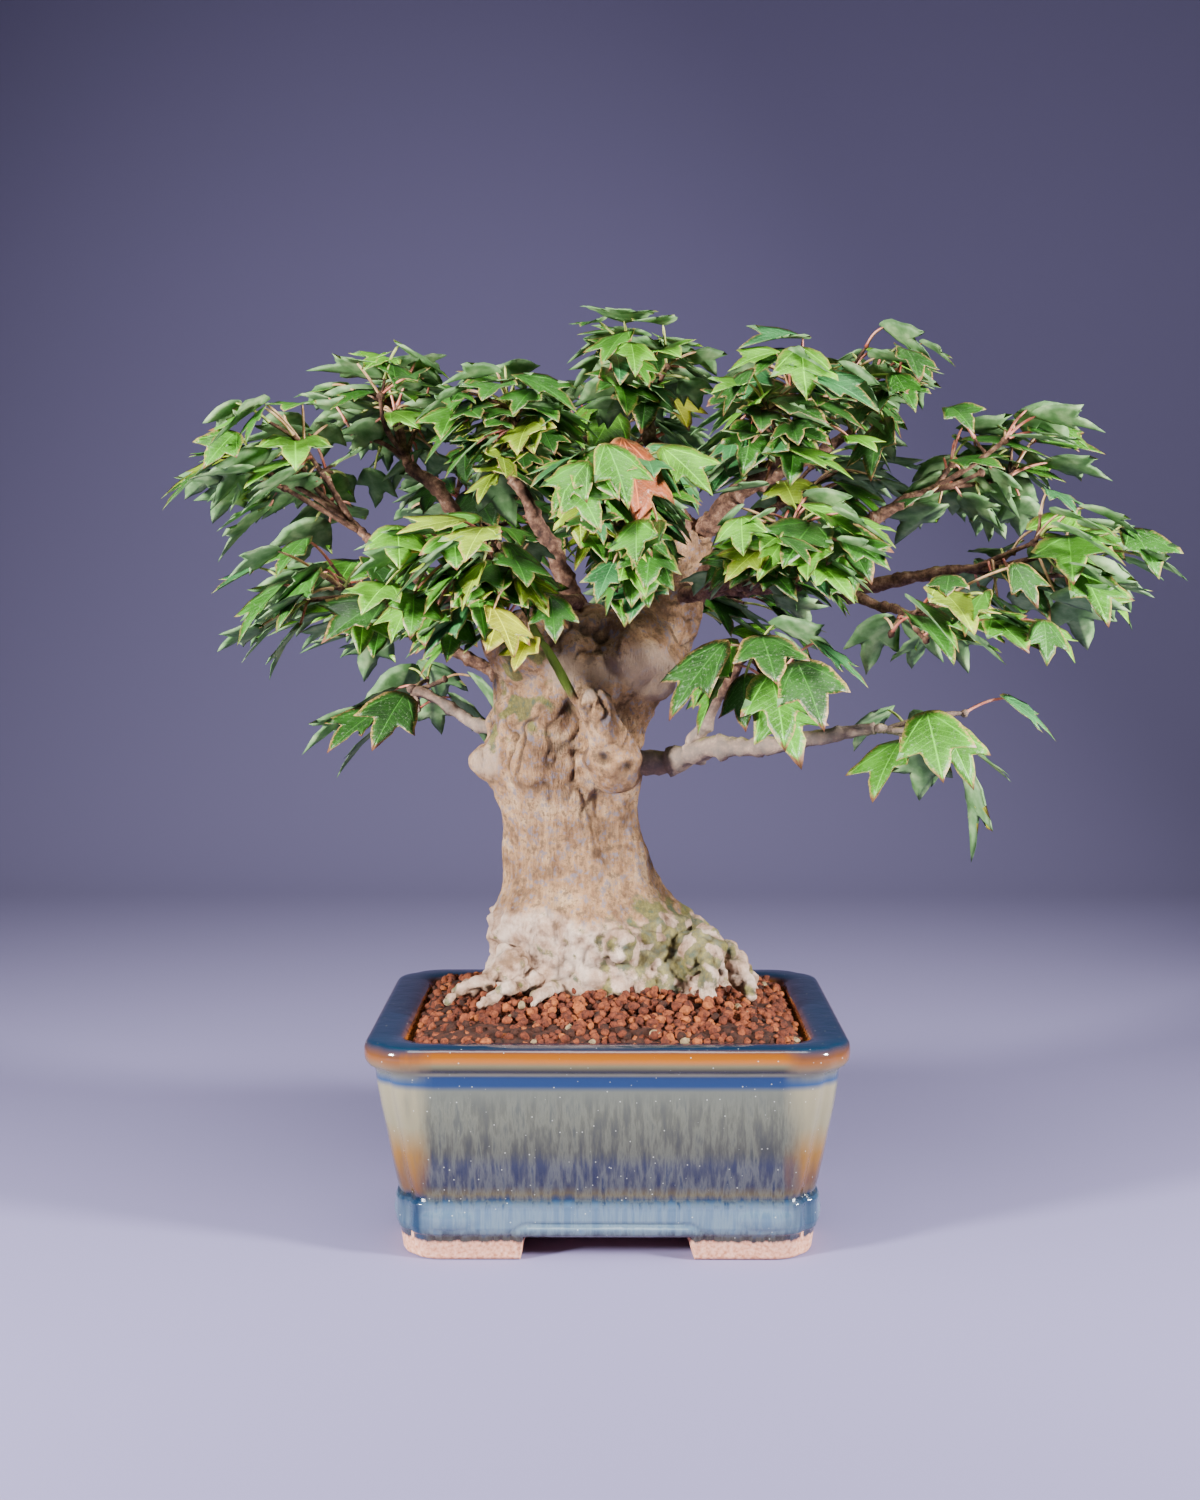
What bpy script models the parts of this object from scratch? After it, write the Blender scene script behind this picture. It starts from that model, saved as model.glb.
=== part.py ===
"""A potted trident maple, grown as a small bonsai in a glazed footed pot.

The tree stands in a mound of soil. Its boughs leave the trunk, and each ends where it enters
a mass of leaves. Every mass is twigs and leaves grown by one seeded rule and fused together.
Sizes are in millimetres and MM turns them to metres. Heights are measured from the table.
Places are measured from the middle of the pot until the last step, which moves everything
so that the origin lies under the middle of the whole plant.
"""
import math
import random

import bmesh
import bpy
import numpy as np
from mathutils import Matrix, Vector
from mathutils.bvhtree import BVHTree

MM = 0.001
GAP = 0.3                       # clearance between neighbouring solids
WELDS = (0.01, 0.003)           # points this close are joined, where nothing opens
FLAT_ANGLE = math.radians(0.6)  # faces flatter than this to each other are merged first

# Pot: a rounded rectangle with a groove down each corner.
# Each row is height, half length, half depth, corner radius and groove depth.
POT_OUTSIDE = (
    (0.0, 63.0, 48.2, 12.0, 0.6),
    (1.4, 64.4, 49.6, 13.0, 0.8),
    (8.0, 65.2, 50.6, 13.5, 1.0),
    (13.5, 66.2, 51.8, 14.0, 1.2),
    (19.0, 65.8, 51.6, 14.0, 1.2),
    (21.0, 65.9, 51.8, 14.0, 1.2),
    (40.0, 69.0, 54.6, 14.5, 1.2),
    (56.0, 71.6, 56.9, 15.0, 1.2),
    (60.0, 71.9, 57.2, 15.0, 1.0),
    (61.6, 73.9, 59.2, 15.5, 0.4),
    (63.2, 74.8, 60.1, 16.0, 0.4),
    (66.8, 75.0, 60.3, 16.0, 0.0),
    (68.6, 74.4, 59.7, 16.0, 0.0),
    (69.2, 73.0, 58.3, 15.0, 0.0),
)
RIM_INNER_EDGE = (68.4, 62.8, 48.4, 9.0, 0.0)
POT_WALL_TOP = (66.6, 62.0, 47.6, 8.5, 0.0)
POT_FLOOR = (14.0, 58.0, 43.6, 7.0, 0.0)
CORNER_STEPS = (0, 20, 38, 45, 52, 70, 90)
GROOVE_STEP = 45
RECESS_HEIGHT = 8.0             # underside of the pot between its feet
FOOT_WALL = 10.0                # thickness of the feet, seen in plan
ARCH_LONG_SIDE = 54.0
ARCH_SHORT_SIDE = 40.0
ARCH_CORNER = 3.0
DRAIN_RADIUS = 6.0
DRAIN_PLACES = (-28.0, 28.0)

# Soil: it fills the pot, and rises over the rim to a flat top under the tree.
SOIL_EDGE_HEIGHT = 66.0
SOIL_SHOULDER = (70.4, 57.5, 43.4, 9.0, 0.0)
SOIL_TOP = (73.0, 53.0, 39.5, 10.0, 0.0)

# Trunk: each row is height, left and right edge, front and back edge.
GROUND_CUT = SOIL_TOP[0] + GAP
TRUNK_ROWS = (
    (70.0, -39.0, 49.0, -14.0, 41.0),
    (81.0, -37.5, 40.0, -13.0, 38.0),
    (88.0, -38.0, 36.0, -12.0, 37.0),
    (95.0, -39.0, 31.0, -11.5, 36.0),
    (101.0, -37.5, 25.0, -9.5, 35.0),
    (108.0, -35.0, 19.0, -7.0, 34.0),
    (116.0, -34.5, 15.0, -6.0, 33.0),
    (129.0, -34.8, 11.6, -6.5, 32.0),
    (137.0, -37.5, 10.8, -7.0, 32.0),
    (148.0, -41.0, 11.2, -8.0, 33.0),
    (160.0, -39.7, 13.7, -8.0, 34.0),
    (173.0, -38.0, 20.0, -8.5, 36.0),
    (185.0, -38.2, 22.6, -8.0, 37.0),
    (193.0, -37.0, 21.0, -5.0, 35.0),
    (199.0, -30.0, 16.0, 0.0, 30.0),
    (202.0, -18.0, 6.0, 7.0, 22.0),
)
TRUNK_RINGS = 25
TRUNK_SIDES = 22
FLUTE_DEPTH = 0.035
FLARE_DEPTH = 0.09
FLARE_TOP = 98.0

# Burls and knobs on the trunk: place and radius.
KNOBS = (
    (2.0, -9.0, 152.0, 10.0),
    (-39.0, 12.0, 149.0, 7.0),
    (-23.0, 8.0, 186.0, 16.0),
    (8.0, 8.0, 184.0, 16.5),
    (3.5, -12.0, 92.0, 5.5),
    (-32.0, -6.0, 84.0, 6.0),
    (30.0, -4.0, 88.0, 8.0),
)
# Limbs fused to the trunk, the leader first: foot, tip, foot radius, tip radius.
LEADER = ((12.0, 22.0, 184.0), (27.0, 19.0, 226.0), 16.0, 9.0)
CUT_STUB = ((2.0, -12.0, 155.0), (-5.5, -19.0, 173.0), 7.5, 4.6)
CORNER_STUB = ((-33.0, 8.0, 184.0), (-43.0, 4.0, 193.0), 5.5, 3.2)
GREEN_SHOOT = ((-8.0, -12.0, 166.0), (-27.0, -20.0, 203.0), 1.9, 1.4)
FUSED_LIMBS = (LEADER, CUT_STUB, CORNER_STUB, GREEN_SHOOT)
LIMB_POINTS = 5
LIMB_WANDER = 0.03
# Roots that lie on the soil or stand at the trunk's right foot.
ROOTS = (
    ((-30.0, -2.0, 82.0), (-52.0, -19.0, 74.2), 4.2, 1.4),
    ((-24.0, -6.0, 78.0), (-41.0, -25.0, 74.0), 3.2, 1.2),
    ((-16.0, -8.0, 78.0), (-24.0, -25.0, 74.0), 3.0, 1.3),
    ((33.0, -3.0, 92.0), (32.0, -20.0, 73.5), 3.6, 2.0),
    ((39.0, 2.0, 88.0), (47.0, -10.0, 73.5), 3.8, 2.0),
    ((40.0, 16.0, 84.0), (51.0, 18.0, 74.0), 4.0, 1.8),
    ((20.0, 34.0, 82.0), (32.0, 38.0, 74.0), 4.0, 1.8),
    ((-25.0, 30.0, 82.0), (-42.0, 35.0, 74.0), 4.2, 1.8),
)
ROOT_BOW = 1.5
ROOT_WANDER = 0.05

# Boughs: what each leaves, where on it (a height on the trunk, or a share of the parent's
# length), its bearing in degrees, reach, height of its tip, its two radii, and its bow.
BOUGHS = {
    "left": ("trunk", 190, 200, 72, 222, 4.4, 2.2, -7),
    "left_low": ("left", 0.62, 228, 24, 204, 2.2, 1.5, 0),
    "left_back": ("trunk", 168, 142, 62, 191, 3.6, 2.0, -4),
    "left_hanging": ("trunk", 161, 158, 58, 172, 3.2, 1.8, -5),
    "upper_left": ("trunk", 196, 188, 58, 247, 4.4, 2.2, -3),
    "mid_left": ("trunk", 198, 205, 26, 243, 3.8, 2.2, 0),
    "front_left": ("trunk", 196, 250, 42, 206, 3.0, 1.7, 3),
    "top": ("leader", 222, 215, 16, 264, 5.0, 2.4, 0),
    "front": ("leader", 206, 248, 44, 229, 3.6, 1.8, 0),
    "upper_right": ("leader", 222, 336, 34, 250, 4.4, 2.2, 0),
    "right_top": ("upper_right", 0.55, 12, 38, 258, 2.8, 1.8, 0),
    "right": ("leader", 214, 352, 78, 237, 4.0, 2.0, -4),
    "far_right": ("leader", 207, 347, 94, 213, 4.2, 2.0, -2),
    "front_right": ("leader", 203, 304, 46, 208, 3.6, 1.9, 2),
    "right_low": ("far_right", 0.5, 318, 34, 201, 2.6, 1.6, 0),
    "low_right": ("trunk", 154, 328, 112, 165, 5.6, 2.0, -5),
    "low_fork": ("low_right", 0.42, 316, 22, 187, 2.8, 1.8, 0),
    "back_left": ("trunk", 195, 135, 58, 224, 4.0, 2.0, -2),
    "back": ("leader", 214, 118, 50, 246, 4.2, 2.0, 0),
    "back_right": ("leader", 210, 44, 52, 235, 4.0, 2.0, -2),
    "back_low": ("trunk", 186, 62, 52, 198, 3.8, 2.0, -2),
}
BOUGH_POINTS = 7
BOUGH_WANDER = 0.05             # sideways wander, as a share of the reach

# Masses of leaves, one on each bough: its centre, its half sizes, the furthest tip with that
# leaf's length and slope in degrees, sprays, usual slope of its leaves, most leaves, and seed.
MASSES = {
    "left": ((-97, -4, 246), (20, 20, 14), (-121, -6, 258), 27, 2, 4, -14, 8, 9),
    "left_low": ((-86, -24, 209), (20, 18, 13), (-108, -24, 197), 30, -8, 3, -24, 8, 9),
    "left_back": ((-76, 54, 204), (22, 22, 14), (-104, 70, 198), 27, -16, 4, -22, 8, 5),
    "left_hanging": ((-68, 44, 172), (18, 20, 14), (-99, 44, 145), 25, -35, 3, -30, 8, 2),
    "upper_left": ((-70, 12, 264), (22, 24, 12), (-97, 14, 285), 27, 20, 4, -10, 8, 11),
    "mid_left": ((-30, -4, 262), (22, 22, 12), (-44, -24, 276), 26, 8, 4, -14, 8, 12),
    "front_left": ((-42, -50, 217), (24, 16, 13), (-68, -54, 222), 30, -6, 4, -22, 8, 0),
    "top": ((12, 4, 279), (20, 22, 10), (-9, -4, 293), 25, 10, 4, -8, 8, 9),
    "front": ((2, -48, 240), (22, 18, 14), (14, -72, 228), 32, -48, 4, -26, 8, 6),
    "upper_right": ((52, -8, 264), (20, 22, 13), (43, -14, 290), 26, 6, 4, -16, 8, 1),
    "right_top": ((87, 16, 270), (18, 20, 13), (110, 18, 264), 27, -28, 4, -22, 8, 10),
    "right": ((122, 12, 250), (22, 22, 13), (146, 8, 257), 30, 2, 4, -16, 8, 6),
    "far_right": ((138, -12, 218), (24, 20, 13), (165, -10, 227), 32, 2, 4, -20, 8, 10),
    "front_right": ((58, -46, 219), (22, 18, 14), (40, -58, 199), 30, -22, 4, -26, 8, 11),
    "right_low": ((100, -42, 199), (22, 18, 13), (127, -44, 180), 30, -24, 3, -30, 8, 3),
    "low_right": ((98, -46, 166), (20, 16, 12), (117, -42, 125), 33, -72, 3, -40, 8, 10),
    "low_fork": ((52, -52, 184), (18, 15, 12), (58, -62, 156), 30, -50, 3, -34, 8, 0),
    "back_left": ((-42, 66, 236), (26, 24, 14), (-70, 98, 232), 28, -10, 5, -18, 12, 12),
    "back": ((4, 72, 260), (26, 24, 14), (0, 112, 258), 28, -8, 5, -16, 12, 1),
    "back_right": ((72, 64, 245), (26, 24, 14), (104, 92, 240), 28, -12, 5, -18, 12, 2),
    "back_low": ((32, 76, 206), (24, 22, 14), (44, 114, 198), 28, -18, 5, -24, 12, 3),
}
LEAF_LENGTHS = (22.0, 30.0)
LEAF_THICKNESS = 1.5
# Half outline of a leaf with three forward lobes: along and across, as shares of its length.
# The first point is where the stalk meets the blade.
HALF_OUTLINE = ((0.0, 0.03), (0.22, 0.27), (0.68, 0.41), (0.60, 0.15))
LEAF_HEART = 0.42               # where the blade is thickest
LEAF_FOLD = 0.16                # how far the lobes rise
LEAF_SAG = 0.20                 # how far the tip drops
STALK_LENGTHS = (7.0, 12.0)
STALK_RISES = (15.0, 50.0)      # degrees above level
STALK_KEEL = 0.9                # depth of the stalk where it meets the blade
GOLDEN_ANGLE = math.radians(137.5)
GOLDEN_SHARE = 0.618
HUB_SHARE = 0.4                 # how far from bough to centre the stem forks
HUB_DROP = 0.1                  # how far below that, as a share of the mass's half height
LEAD_SHARE = 0.35               # how far from its leaf to the hub the leading twig ends
LEAD_DROP = 3.0
SPRAY_SHARES = (0.35, 0.70)     # how far from the centre twigs end, as a share of the half size
SPRAY_HEIGHTS = (-0.55, 0.45)   # how high they end, as a share of the half height
FORK_STEP = 0.16                # from fork to fork, as a share of the stem
SPRAY_CLEARANCE = 9.0           # from one spray to the next in a mass
SPRAY_TRIES = 3
FAN_BEARINGS = (0, 62, -58, 118, -122, 175)
FAN_JITTER = 20.0
LEAF_ROLL = 22.0
LEAVES_PER_SPRAY = 2
LEAF_TRIES = 8
LEAF_STEP = 1.6                 # from one leaf to the next along a twig
STEM_RADIUS = 1.5
TWIG_RADIUS = 1.0
TWIG_TAPER = 0.7
ROOT_DEPTH = 0.3                # how far past its middle a stalk is sunk in a twig
UNION_TWISTS = 3                # turns of the twigs that are tried before a leaf is dropped
TWIST_STEP = 0.7
LIMB_CLEARANCE = 1.3            # from leaves and twigs to limbs
TRUNK_SWELL = 1.06              # how far the trunk's flutes stand out from its table
LEAF_CLEARANCE = 2.0            # from leaf to leaf
LEAF_REACH = 75.0               # leaves with hearts further apart than this can't touch
CELL_CLEARANCE = 0.6            # from a mass to the side of its space

BARK = (0.52, 0.40, 0.29)
BOUGH_BARK = (0.27, 0.17, 0.12)
LEAF_GREENS = ((0.07, 0.22, 0.05), (0.10, 0.30, 0.07), (0.15, 0.33, 0.06))


def clear_scene():
    """Removes whatever the file starts with."""
    for item in list(bpy.data.objects):
        bpy.data.objects.remove(item, do_unlink=True)


def collection(name):
    """A new collection in the scene."""
    group = bpy.data.collections.new(name)
    bpy.context.scene.collection.children.link(group)
    return group


def material(name, colour, roughness):
    """A plain Principled material."""
    made = bpy.data.materials.new(name)
    made.use_nodes = True
    shader = made.node_tree.nodes["Principled BSDF"]
    shader.inputs["Base Color"].default_value = (*colour, 1.0)
    shader.inputs["Roughness"].default_value = roughness
    return made


def object_from(bm, name, group):
    """Turns a bmesh in millimetres into an object in metres."""
    bmesh.ops.scale(bm, vec=(MM, MM, MM), verts=bm.verts)
    bmesh.ops.recalc_face_normals(bm, faces=bm.faces)
    mesh = bpy.data.meshes.new(name)
    bm.to_mesh(mesh)
    bm.free()
    made = bpy.data.objects.new(name, mesh)
    group.objects.link(made)
    return made


def loft(rings, name, group):
    """A closed solid through rings of equal count, with flat ends."""
    bm = bmesh.new()
    rows = [[bm.verts.new(point) for point in ring] for ring in rings]
    count = len(rows[0])
    for lower, upper in zip(rows, rows[1:]):
        for k in range(count):
            after = (k + 1) % count
            bm.faces.new((lower[k], lower[after], upper[after], upper[k]))
    bm.faces.new(rows[0])
    bm.faces.new(rows[-1])
    return object_from(bm, name, group)


def tube(points, radii, name, group):
    """A tapering round limb: a curve with a bevel, turned into a welded mesh."""
    curve = bpy.data.curves.new(name, "CURVE")
    curve.dimensions = "3D"
    curve.bevel_depth = MM
    curve.bevel_resolution = 2
    curve.use_fill_caps = True
    spline = curve.splines.new("POLY")
    spline.points.add(len(points) - 1)
    for k, (point, radius) in enumerate(zip(points, radii)):
        spline.points[k].co = (*(Vector(point) * MM), 1.0)
        spline.points[k].radius = radius
    carrier = bpy.data.objects.new(name, curve)
    group.objects.link(carrier)
    bpy.context.view_layer.update()
    evaluated = carrier.evaluated_get(bpy.context.evaluated_depsgraph_get())
    mesh = bpy.data.meshes.new_from_object(evaluated)
    made = bpy.data.objects.new(name, mesh)
    made.matrix_world = carrier.matrix_world
    group.objects.link(made)
    bpy.data.objects.remove(carrier, do_unlink=True)
    bm = bmesh.new()
    bm.from_mesh(mesh)
    bmesh.ops.remove_doubles(bm, verts=bm.verts, dist=0.01 * MM)
    bmesh.ops.recalc_face_normals(bm, faces=bm.faces)
    bm.to_mesh(mesh)
    bm.free()
    made.name = name
    return made


def signed_volume(faces):
    """Six times the volume inside triangles, below zero where they face inwards."""
    corners = [[loop.vert.co for loop in face.loops] for face in faces]
    return sum(a.dot(b.cross(c)) for a, b, c in corners)


def ear_quality(corners, normal, others):
    """How good a triangle is to clip: below zero where it is bent inwards or holds a point."""
    a, b, c = corners
    area = (b - a).cross(c - b).dot(normal)
    if area <= 0:
        return -1.0
    for point in others:
        sides = [(q - p).cross(point - p).dot(normal) for p, q in ((a, b), (b, c), (c, a))]
        if min(sides) > 0:
            return -1.0
    return area / max((b - a).length_squared, (c - b).length_squared, (a - c).length_squared)


def clip_ears(bm, face):
    """Splits a face into triangles, and never along an edge that is already there."""
    verts = list(face.verts)
    normal = face.normal.copy()
    bm.faces.remove(face)
    while len(verts) > 3:
        ears = []
        for k, middle in enumerate(verts):
            before, after = verts[k - 1], verts[(k + 1) % len(verts)]
            if bm.edges.get((before, after)) is None:
                others = [vert.co for vert in verts if vert not in (before, middle, after)]
                ears.append((ear_quality((before.co, middle.co, after.co), normal, others), k))
        if not ears:
            return
        k = max(ears)[1]
        bm.faces.new((verts[k - 1], verts[k], verts[(k + 1) % len(verts)]))
        verts.pop(k)
    bm.faces.new(verts)


def cleaned(mesh, weld, flat_angle):
    """A bmesh of triangles with slivers merged away, or None where that opens the surface."""
    bm = bmesh.new()
    bm.from_mesh(mesh)
    if weld:
        bmesh.ops.remove_doubles(bm, verts=bm.verts, dist=weld * MM)
        bmesh.ops.dissolve_degenerate(bm, edges=bm.edges, dist=weld * MM)
    if flat_angle:
        bmesh.ops.dissolve_limit(bm, angle_limit=flat_angle, verts=bm.verts, edges=bm.edges)
    bm.normal_update()
    for face in [face for face in bm.faces if len(face.verts) > 3]:
        clip_ears(bm, face)
    if any(len(edge.link_faces) != 2 for edge in bm.edges):
        bm.free()
        return None
    return bm


def closed_mesh(mesh):
    """The first cleaning of a mesh that leaves it closed, or None."""
    for weld in WELDS:
        for flat_angle in (FLAT_ANGLE, 0.0):
            bm = cleaned(mesh, weld, flat_angle)
            if bm:
                return bm
    return None


def keep_largest_body(bm):
    """Drops loose scraps, and the walls of a sealed hollow, which fills it."""
    left = set(bm.faces)
    bodies = []
    while left:
        stack = [left.pop()]
        body = list(stack)
        while stack:
            for edge in stack.pop().edges:
                for face in edge.link_faces:
                    if face in left:
                        left.remove(face)
                        stack.append(face)
                        body.append(face)
        bodies.append(body)
    bodies.sort(key=signed_volume)
    for body in bodies[:-1]:
        bmesh.ops.delete(bm, geom=body, context="FACES")
    loose = [vert for vert in bm.verts if not vert.link_faces]
    bmesh.ops.delete(bm, geom=loose, context="VERTS")


def combine(base, others, operation):
    """Joins or cuts the base with all the others at once, and says whether it stayed closed."""
    operands = bpy.data.collections.new("operands")
    bpy.context.scene.collection.children.link(operands)
    for other in others:
        for group in list(other.users_collection):
            group.objects.unlink(other)
        operands.objects.link(other)
    step = base.modifiers.new(operation.lower(), "BOOLEAN")
    step.operation = operation
    step.operand_type = "COLLECTION"
    step.collection = operands
    step.solver = "MANIFOLD"
    bpy.context.view_layer.update()
    evaluated = base.evaluated_get(bpy.context.evaluated_depsgraph_get())
    mesh = bpy.data.meshes.new_from_object(evaluated)
    bm = closed_mesh(mesh)
    base.modifiers.remove(step)
    for other in others:
        bpy.data.objects.remove(other, do_unlink=True)
    bpy.data.collections.remove(operands)
    if bm:
        keep_largest_body(bm)
        bm.to_mesh(mesh)
        bm.free()
        base.data = mesh
    return bool(bm)


def finish(item, made, smooth_angle=None):
    """Gives a finished solid its material, and smooth shading below the angle."""
    item.data.name = item.name
    item.data.materials.clear()
    item.data.materials.append(made)
    if smooth_angle is not None:
        item.data.shade_smooth()
        item.data.set_sharp_from_angle(angle=math.radians(smooth_angle))


def pot_ring(row, offset=0.0):
    """One ring of the pot at a row's height: a rounded rectangle with grooved corners."""
    height, half_x, half_y, corner, groove = row
    half_x += offset
    half_y += offset
    corner += offset
    points = []
    for quarter, (sign_x, sign_y) in enumerate(((1, 1), (-1, 1), (-1, -1), (1, -1))):
        for step in CORNER_STEPS:
            angle = math.radians(90 * quarter + step)
            radius = corner - (groove if step == GROOVE_STEP else 0.0)
            x = sign_x * (half_x - corner) + radius * math.cos(angle)
            y = sign_y * (half_y - corner) + radius * math.sin(angle)
            points.append((x, y, height))
    return points


def arch_cutter(size_x, size_y, name, group):
    """A box under the pot with rounded upper edges."""
    bm = bmesh.new()
    bmesh.ops.create_cube(bm, size=1.0)
    bmesh.ops.scale(bm, vec=(size_x, size_y, 2 * RECESS_HEIGHT), verts=bm.verts)
    along_x = size_x > size_y
    top = [edge for edge in bm.edges
           if all(vert.co.z > 0 for vert in edge.verts)
           and abs((edge.verts[0].co - edge.verts[1].co)[0 if along_x else 1]) > 1.0]
    bmesh.ops.bevel(bm, geom=top, offset=ARCH_CORNER, segments=3, affect="EDGES", profile=0.5)
    return object_from(bm, name, group)


def make_pot(group, cutters):
    """The pot: outside and inside in one loft, then its arches, recess and drain holes."""
    rings = [pot_ring(row) for row in POT_OUTSIDE + (RIM_INNER_EDGE, POT_WALL_TOP, POT_FLOOR)]
    pot = loft(rings, "pot", group)
    foot_row = POT_OUTSIDE[2]
    below = [pot_ring((height, foot_row[1], foot_row[2], foot_row[3], 0.0), -FOOT_WALL)
             for height in (-RECESS_HEIGHT, RECESS_HEIGHT)]
    recess = loft(below, "recess_cutter", cutters)
    span = 2.4 * POT_OUTSIDE[0][1]
    long_arch = arch_cutter(ARCH_LONG_SIDE, span, "long_side_arch_cutter", cutters)
    short_arch = arch_cutter(span, ARCH_SHORT_SIDE, "short_side_arch_cutter", cutters)
    drains = []
    for place in DRAIN_PLACES:
        bm = bmesh.new()
        bmesh.ops.create_cone(bm, cap_ends=True, segments=14, radius1=DRAIN_RADIUS,
                              radius2=DRAIN_RADIUS, depth=4 * POT_FLOOR[0])
        bmesh.ops.translate(bm, vec=(place, 0.0, 0.0), verts=bm.verts)
        drains.append(object_from(bm, "drain_cutter", cutters))
    for number, cutter in enumerate([recess, long_arch, short_arch] + drains):
        cutter.hide_render = True
        cutter.display_type = "WIRE"
        step = pot.modifiers.new("cut_%d" % number, "BOOLEAN")
        step.operation = "DIFFERENCE"
        step.object = cutter
    finish(pot, material("glazed_stoneware", (0.13, 0.17, 0.19), 0.15), 40)
    return pot


def make_soil(group):
    """The filling of granules: a gap to the pot all round and a flat top under the tree."""
    lift = POT_FLOOR[0] + GAP
    share = (SOIL_EDGE_HEIGHT - POT_FLOOR[0]) / (POT_WALL_TOP[0] - POT_FLOOR[0])
    edge = [low + (high - low) * share for low, high in zip(POT_FLOOR, POT_WALL_TOP)]
    rings = [pot_ring((lift,) + POT_FLOOR[1:], -GAP), pot_ring(edge, -GAP),
             pot_ring(SOIL_SHOULDER), pot_ring(SOIL_TOP)]
    soil = loft(rings, "soil", group)
    finish(soil, material("fired_clay_granules", (0.23, 0.08, 0.04), 0.95))
    return soil


def smooth_rows(rows, count):
    """Reads a table of sections at even heights, on smooth curves through its rows."""
    table = np.array(rows)
    heights = np.linspace(table[0, 0], table[-1, 0], count)
    slopes = np.gradient(table, table[:, 0], axis=0)
    after = np.clip(np.searchsorted(table[:, 0], heights, side="right"), 1, len(table) - 1)
    before = after - 1
    span = (table[after, 0] - table[before, 0])[:, None]
    t = (heights[:, None] - table[before, 0][:, None]) / span
    return (table[before] * (2 * t**3 - 3 * t**2 + 1) + slopes[before] * span * (t**3 - 2 * t**2 + t)
            + table[after] * (3 * t**2 - 2 * t**3) + slopes[after] * span * (t**3 - t**2))


def trunk_axis(height):
    """The middle of the trunk at a height."""
    table = np.array(TRUNK_ROWS)
    left, right, front, back = (np.interp(height, table[:, 0], table[:, k]) for k in (1, 2, 3, 4))
    return Vector(((left + right) / 2, (front + back) / 2, height))


def leader_axis(height):
    """The middle of the leader, which carries on from the trunk."""
    foot, tip = Vector(LEADER[0]), Vector(LEADER[1])
    return foot.lerp(tip, (height - foot.z) / (tip.z - foot.z))


def trunk_ring(row):
    """One fluted section of the trunk, with roots flaring out at its foot."""
    height, left, right, front, back = row
    angles = np.arange(TRUNK_SIDES) * 2 * math.pi / TRUNK_SIDES
    flutes = np.sin(5 * angles + 0.03 * height) + 0.7 * np.sin(8 * angles - 0.05 * height)
    flare = max(0.0, (FLARE_TOP - height) / (FLARE_TOP - TRUNK_ROWS[0][0]))
    swell = 1.0 + FLUTE_DEPTH * flutes + FLARE_DEPTH * flare * np.sin(6 * angles + 0.9)
    x = (left + right) / 2 + (right - left) / 2 * swell * np.cos(angles)
    y = (front + back) / 2 + (back - front) / 2 * swell * np.sin(angles)
    return [(px, py, height) for px, py in zip(x, y)]


def limb_points(foot, tip, bow, wander, seed, count):
    """Points of a limb from foot to tip, with a bow up or down and a seeded wander."""
    rng = random.Random(seed)
    foot, tip = Vector(foot), Vector(tip)
    across = (tip - foot).cross(Vector((0, 0, 1))).normalized()
    size = wander * (tip - foot).length
    points = []
    for k in range(count):
        t = k / (count - 1)
        point = foot.lerp(tip, t)
        point.z += bow * 4 * t * (1 - t)
        if 0 < k < count - 1:
            point += across * rng.uniform(-size, size)
            point.z += rng.uniform(-size, size) * 0.6
        points.append(point)
    return points


def taper(foot_radius, tip_radius, count):
    """Radii that fall evenly from foot to tip."""
    return [foot_radius + (tip_radius - foot_radius) * k / (count - 1) for k in range(count)]


def make_trunk(group):
    """The trunk with its leader, burls, cut stubs and roots, cut flat at the ground."""
    rings = [trunk_ring(row) for row in smooth_rows(TRUNK_ROWS, TRUNK_RINGS)]
    trunk = loft(rings, "trunk", group)
    pieces = []
    for x, y, z, radius in KNOBS:
        bm = bmesh.new()
        bmesh.ops.create_uvsphere(bm, u_segments=10, v_segments=6, radius=radius)
        bmesh.ops.translate(bm, vec=(x, y, z), verts=bm.verts)
        pieces.append(object_from(bm, "knob", group))
    for number, (foot, tip, foot_radius, tip_radius) in enumerate(FUSED_LIMBS):
        points = limb_points(foot, tip, 0.0, LIMB_WANDER, number, LIMB_POINTS)
        pieces.append(tube(points, taper(foot_radius, tip_radius, LIMB_POINTS), "fused_limb", group))
    for number, (foot, tip, foot_radius, tip_radius) in enumerate(ROOTS):
        points = limb_points(foot, tip, ROOT_BOW, ROOT_WANDER, 40 + number, LIMB_POINTS)
        pieces.append(tube(points, taper(foot_radius, tip_radius, LIMB_POINTS), "root", group))
    combine(trunk, pieces, "UNION")
    bm = bmesh.new()
    bmesh.ops.create_cube(bm, size=200.0)
    bmesh.ops.translate(bm, vec=(0, 0, GROUND_CUT - 100.0), verts=bm.verts)
    combine(trunk, [object_from(bm, "ground", group)], "DIFFERENCE")
    finish(trunk, material("grey_brown_bark", BARK, 0.85), 50)
    return trunk


def plan_boughs():
    """Works out the points and radii of every bough from its row."""
    plans = {}
    for seed, (key, row) in enumerate(BOUGHS.items()):
        parent, place, bearing, reach, tip_height, foot_radius, tip_radius, bow = row
        if parent == "trunk":
            foot = trunk_axis(place)
        elif parent == "leader":
            foot = leader_axis(place)
        else:
            along = place * (BOUGH_POINTS - 1)
            points = plans[parent][0]
            foot = points[int(along)].lerp(points[int(along) + 1], along % 1.0)
        angle = math.radians(bearing)
        tip = foot + Vector((reach * math.cos(angle), reach * math.sin(angle), 0.0))
        tip.z = tip_height
        points = limb_points(foot, tip, bow, BOUGH_WANDER, 100 + seed, BOUGH_POINTS)
        plans[key] = (points, taper(foot_radius, tip_radius, BOUGH_POINTS))
    return plans


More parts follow.
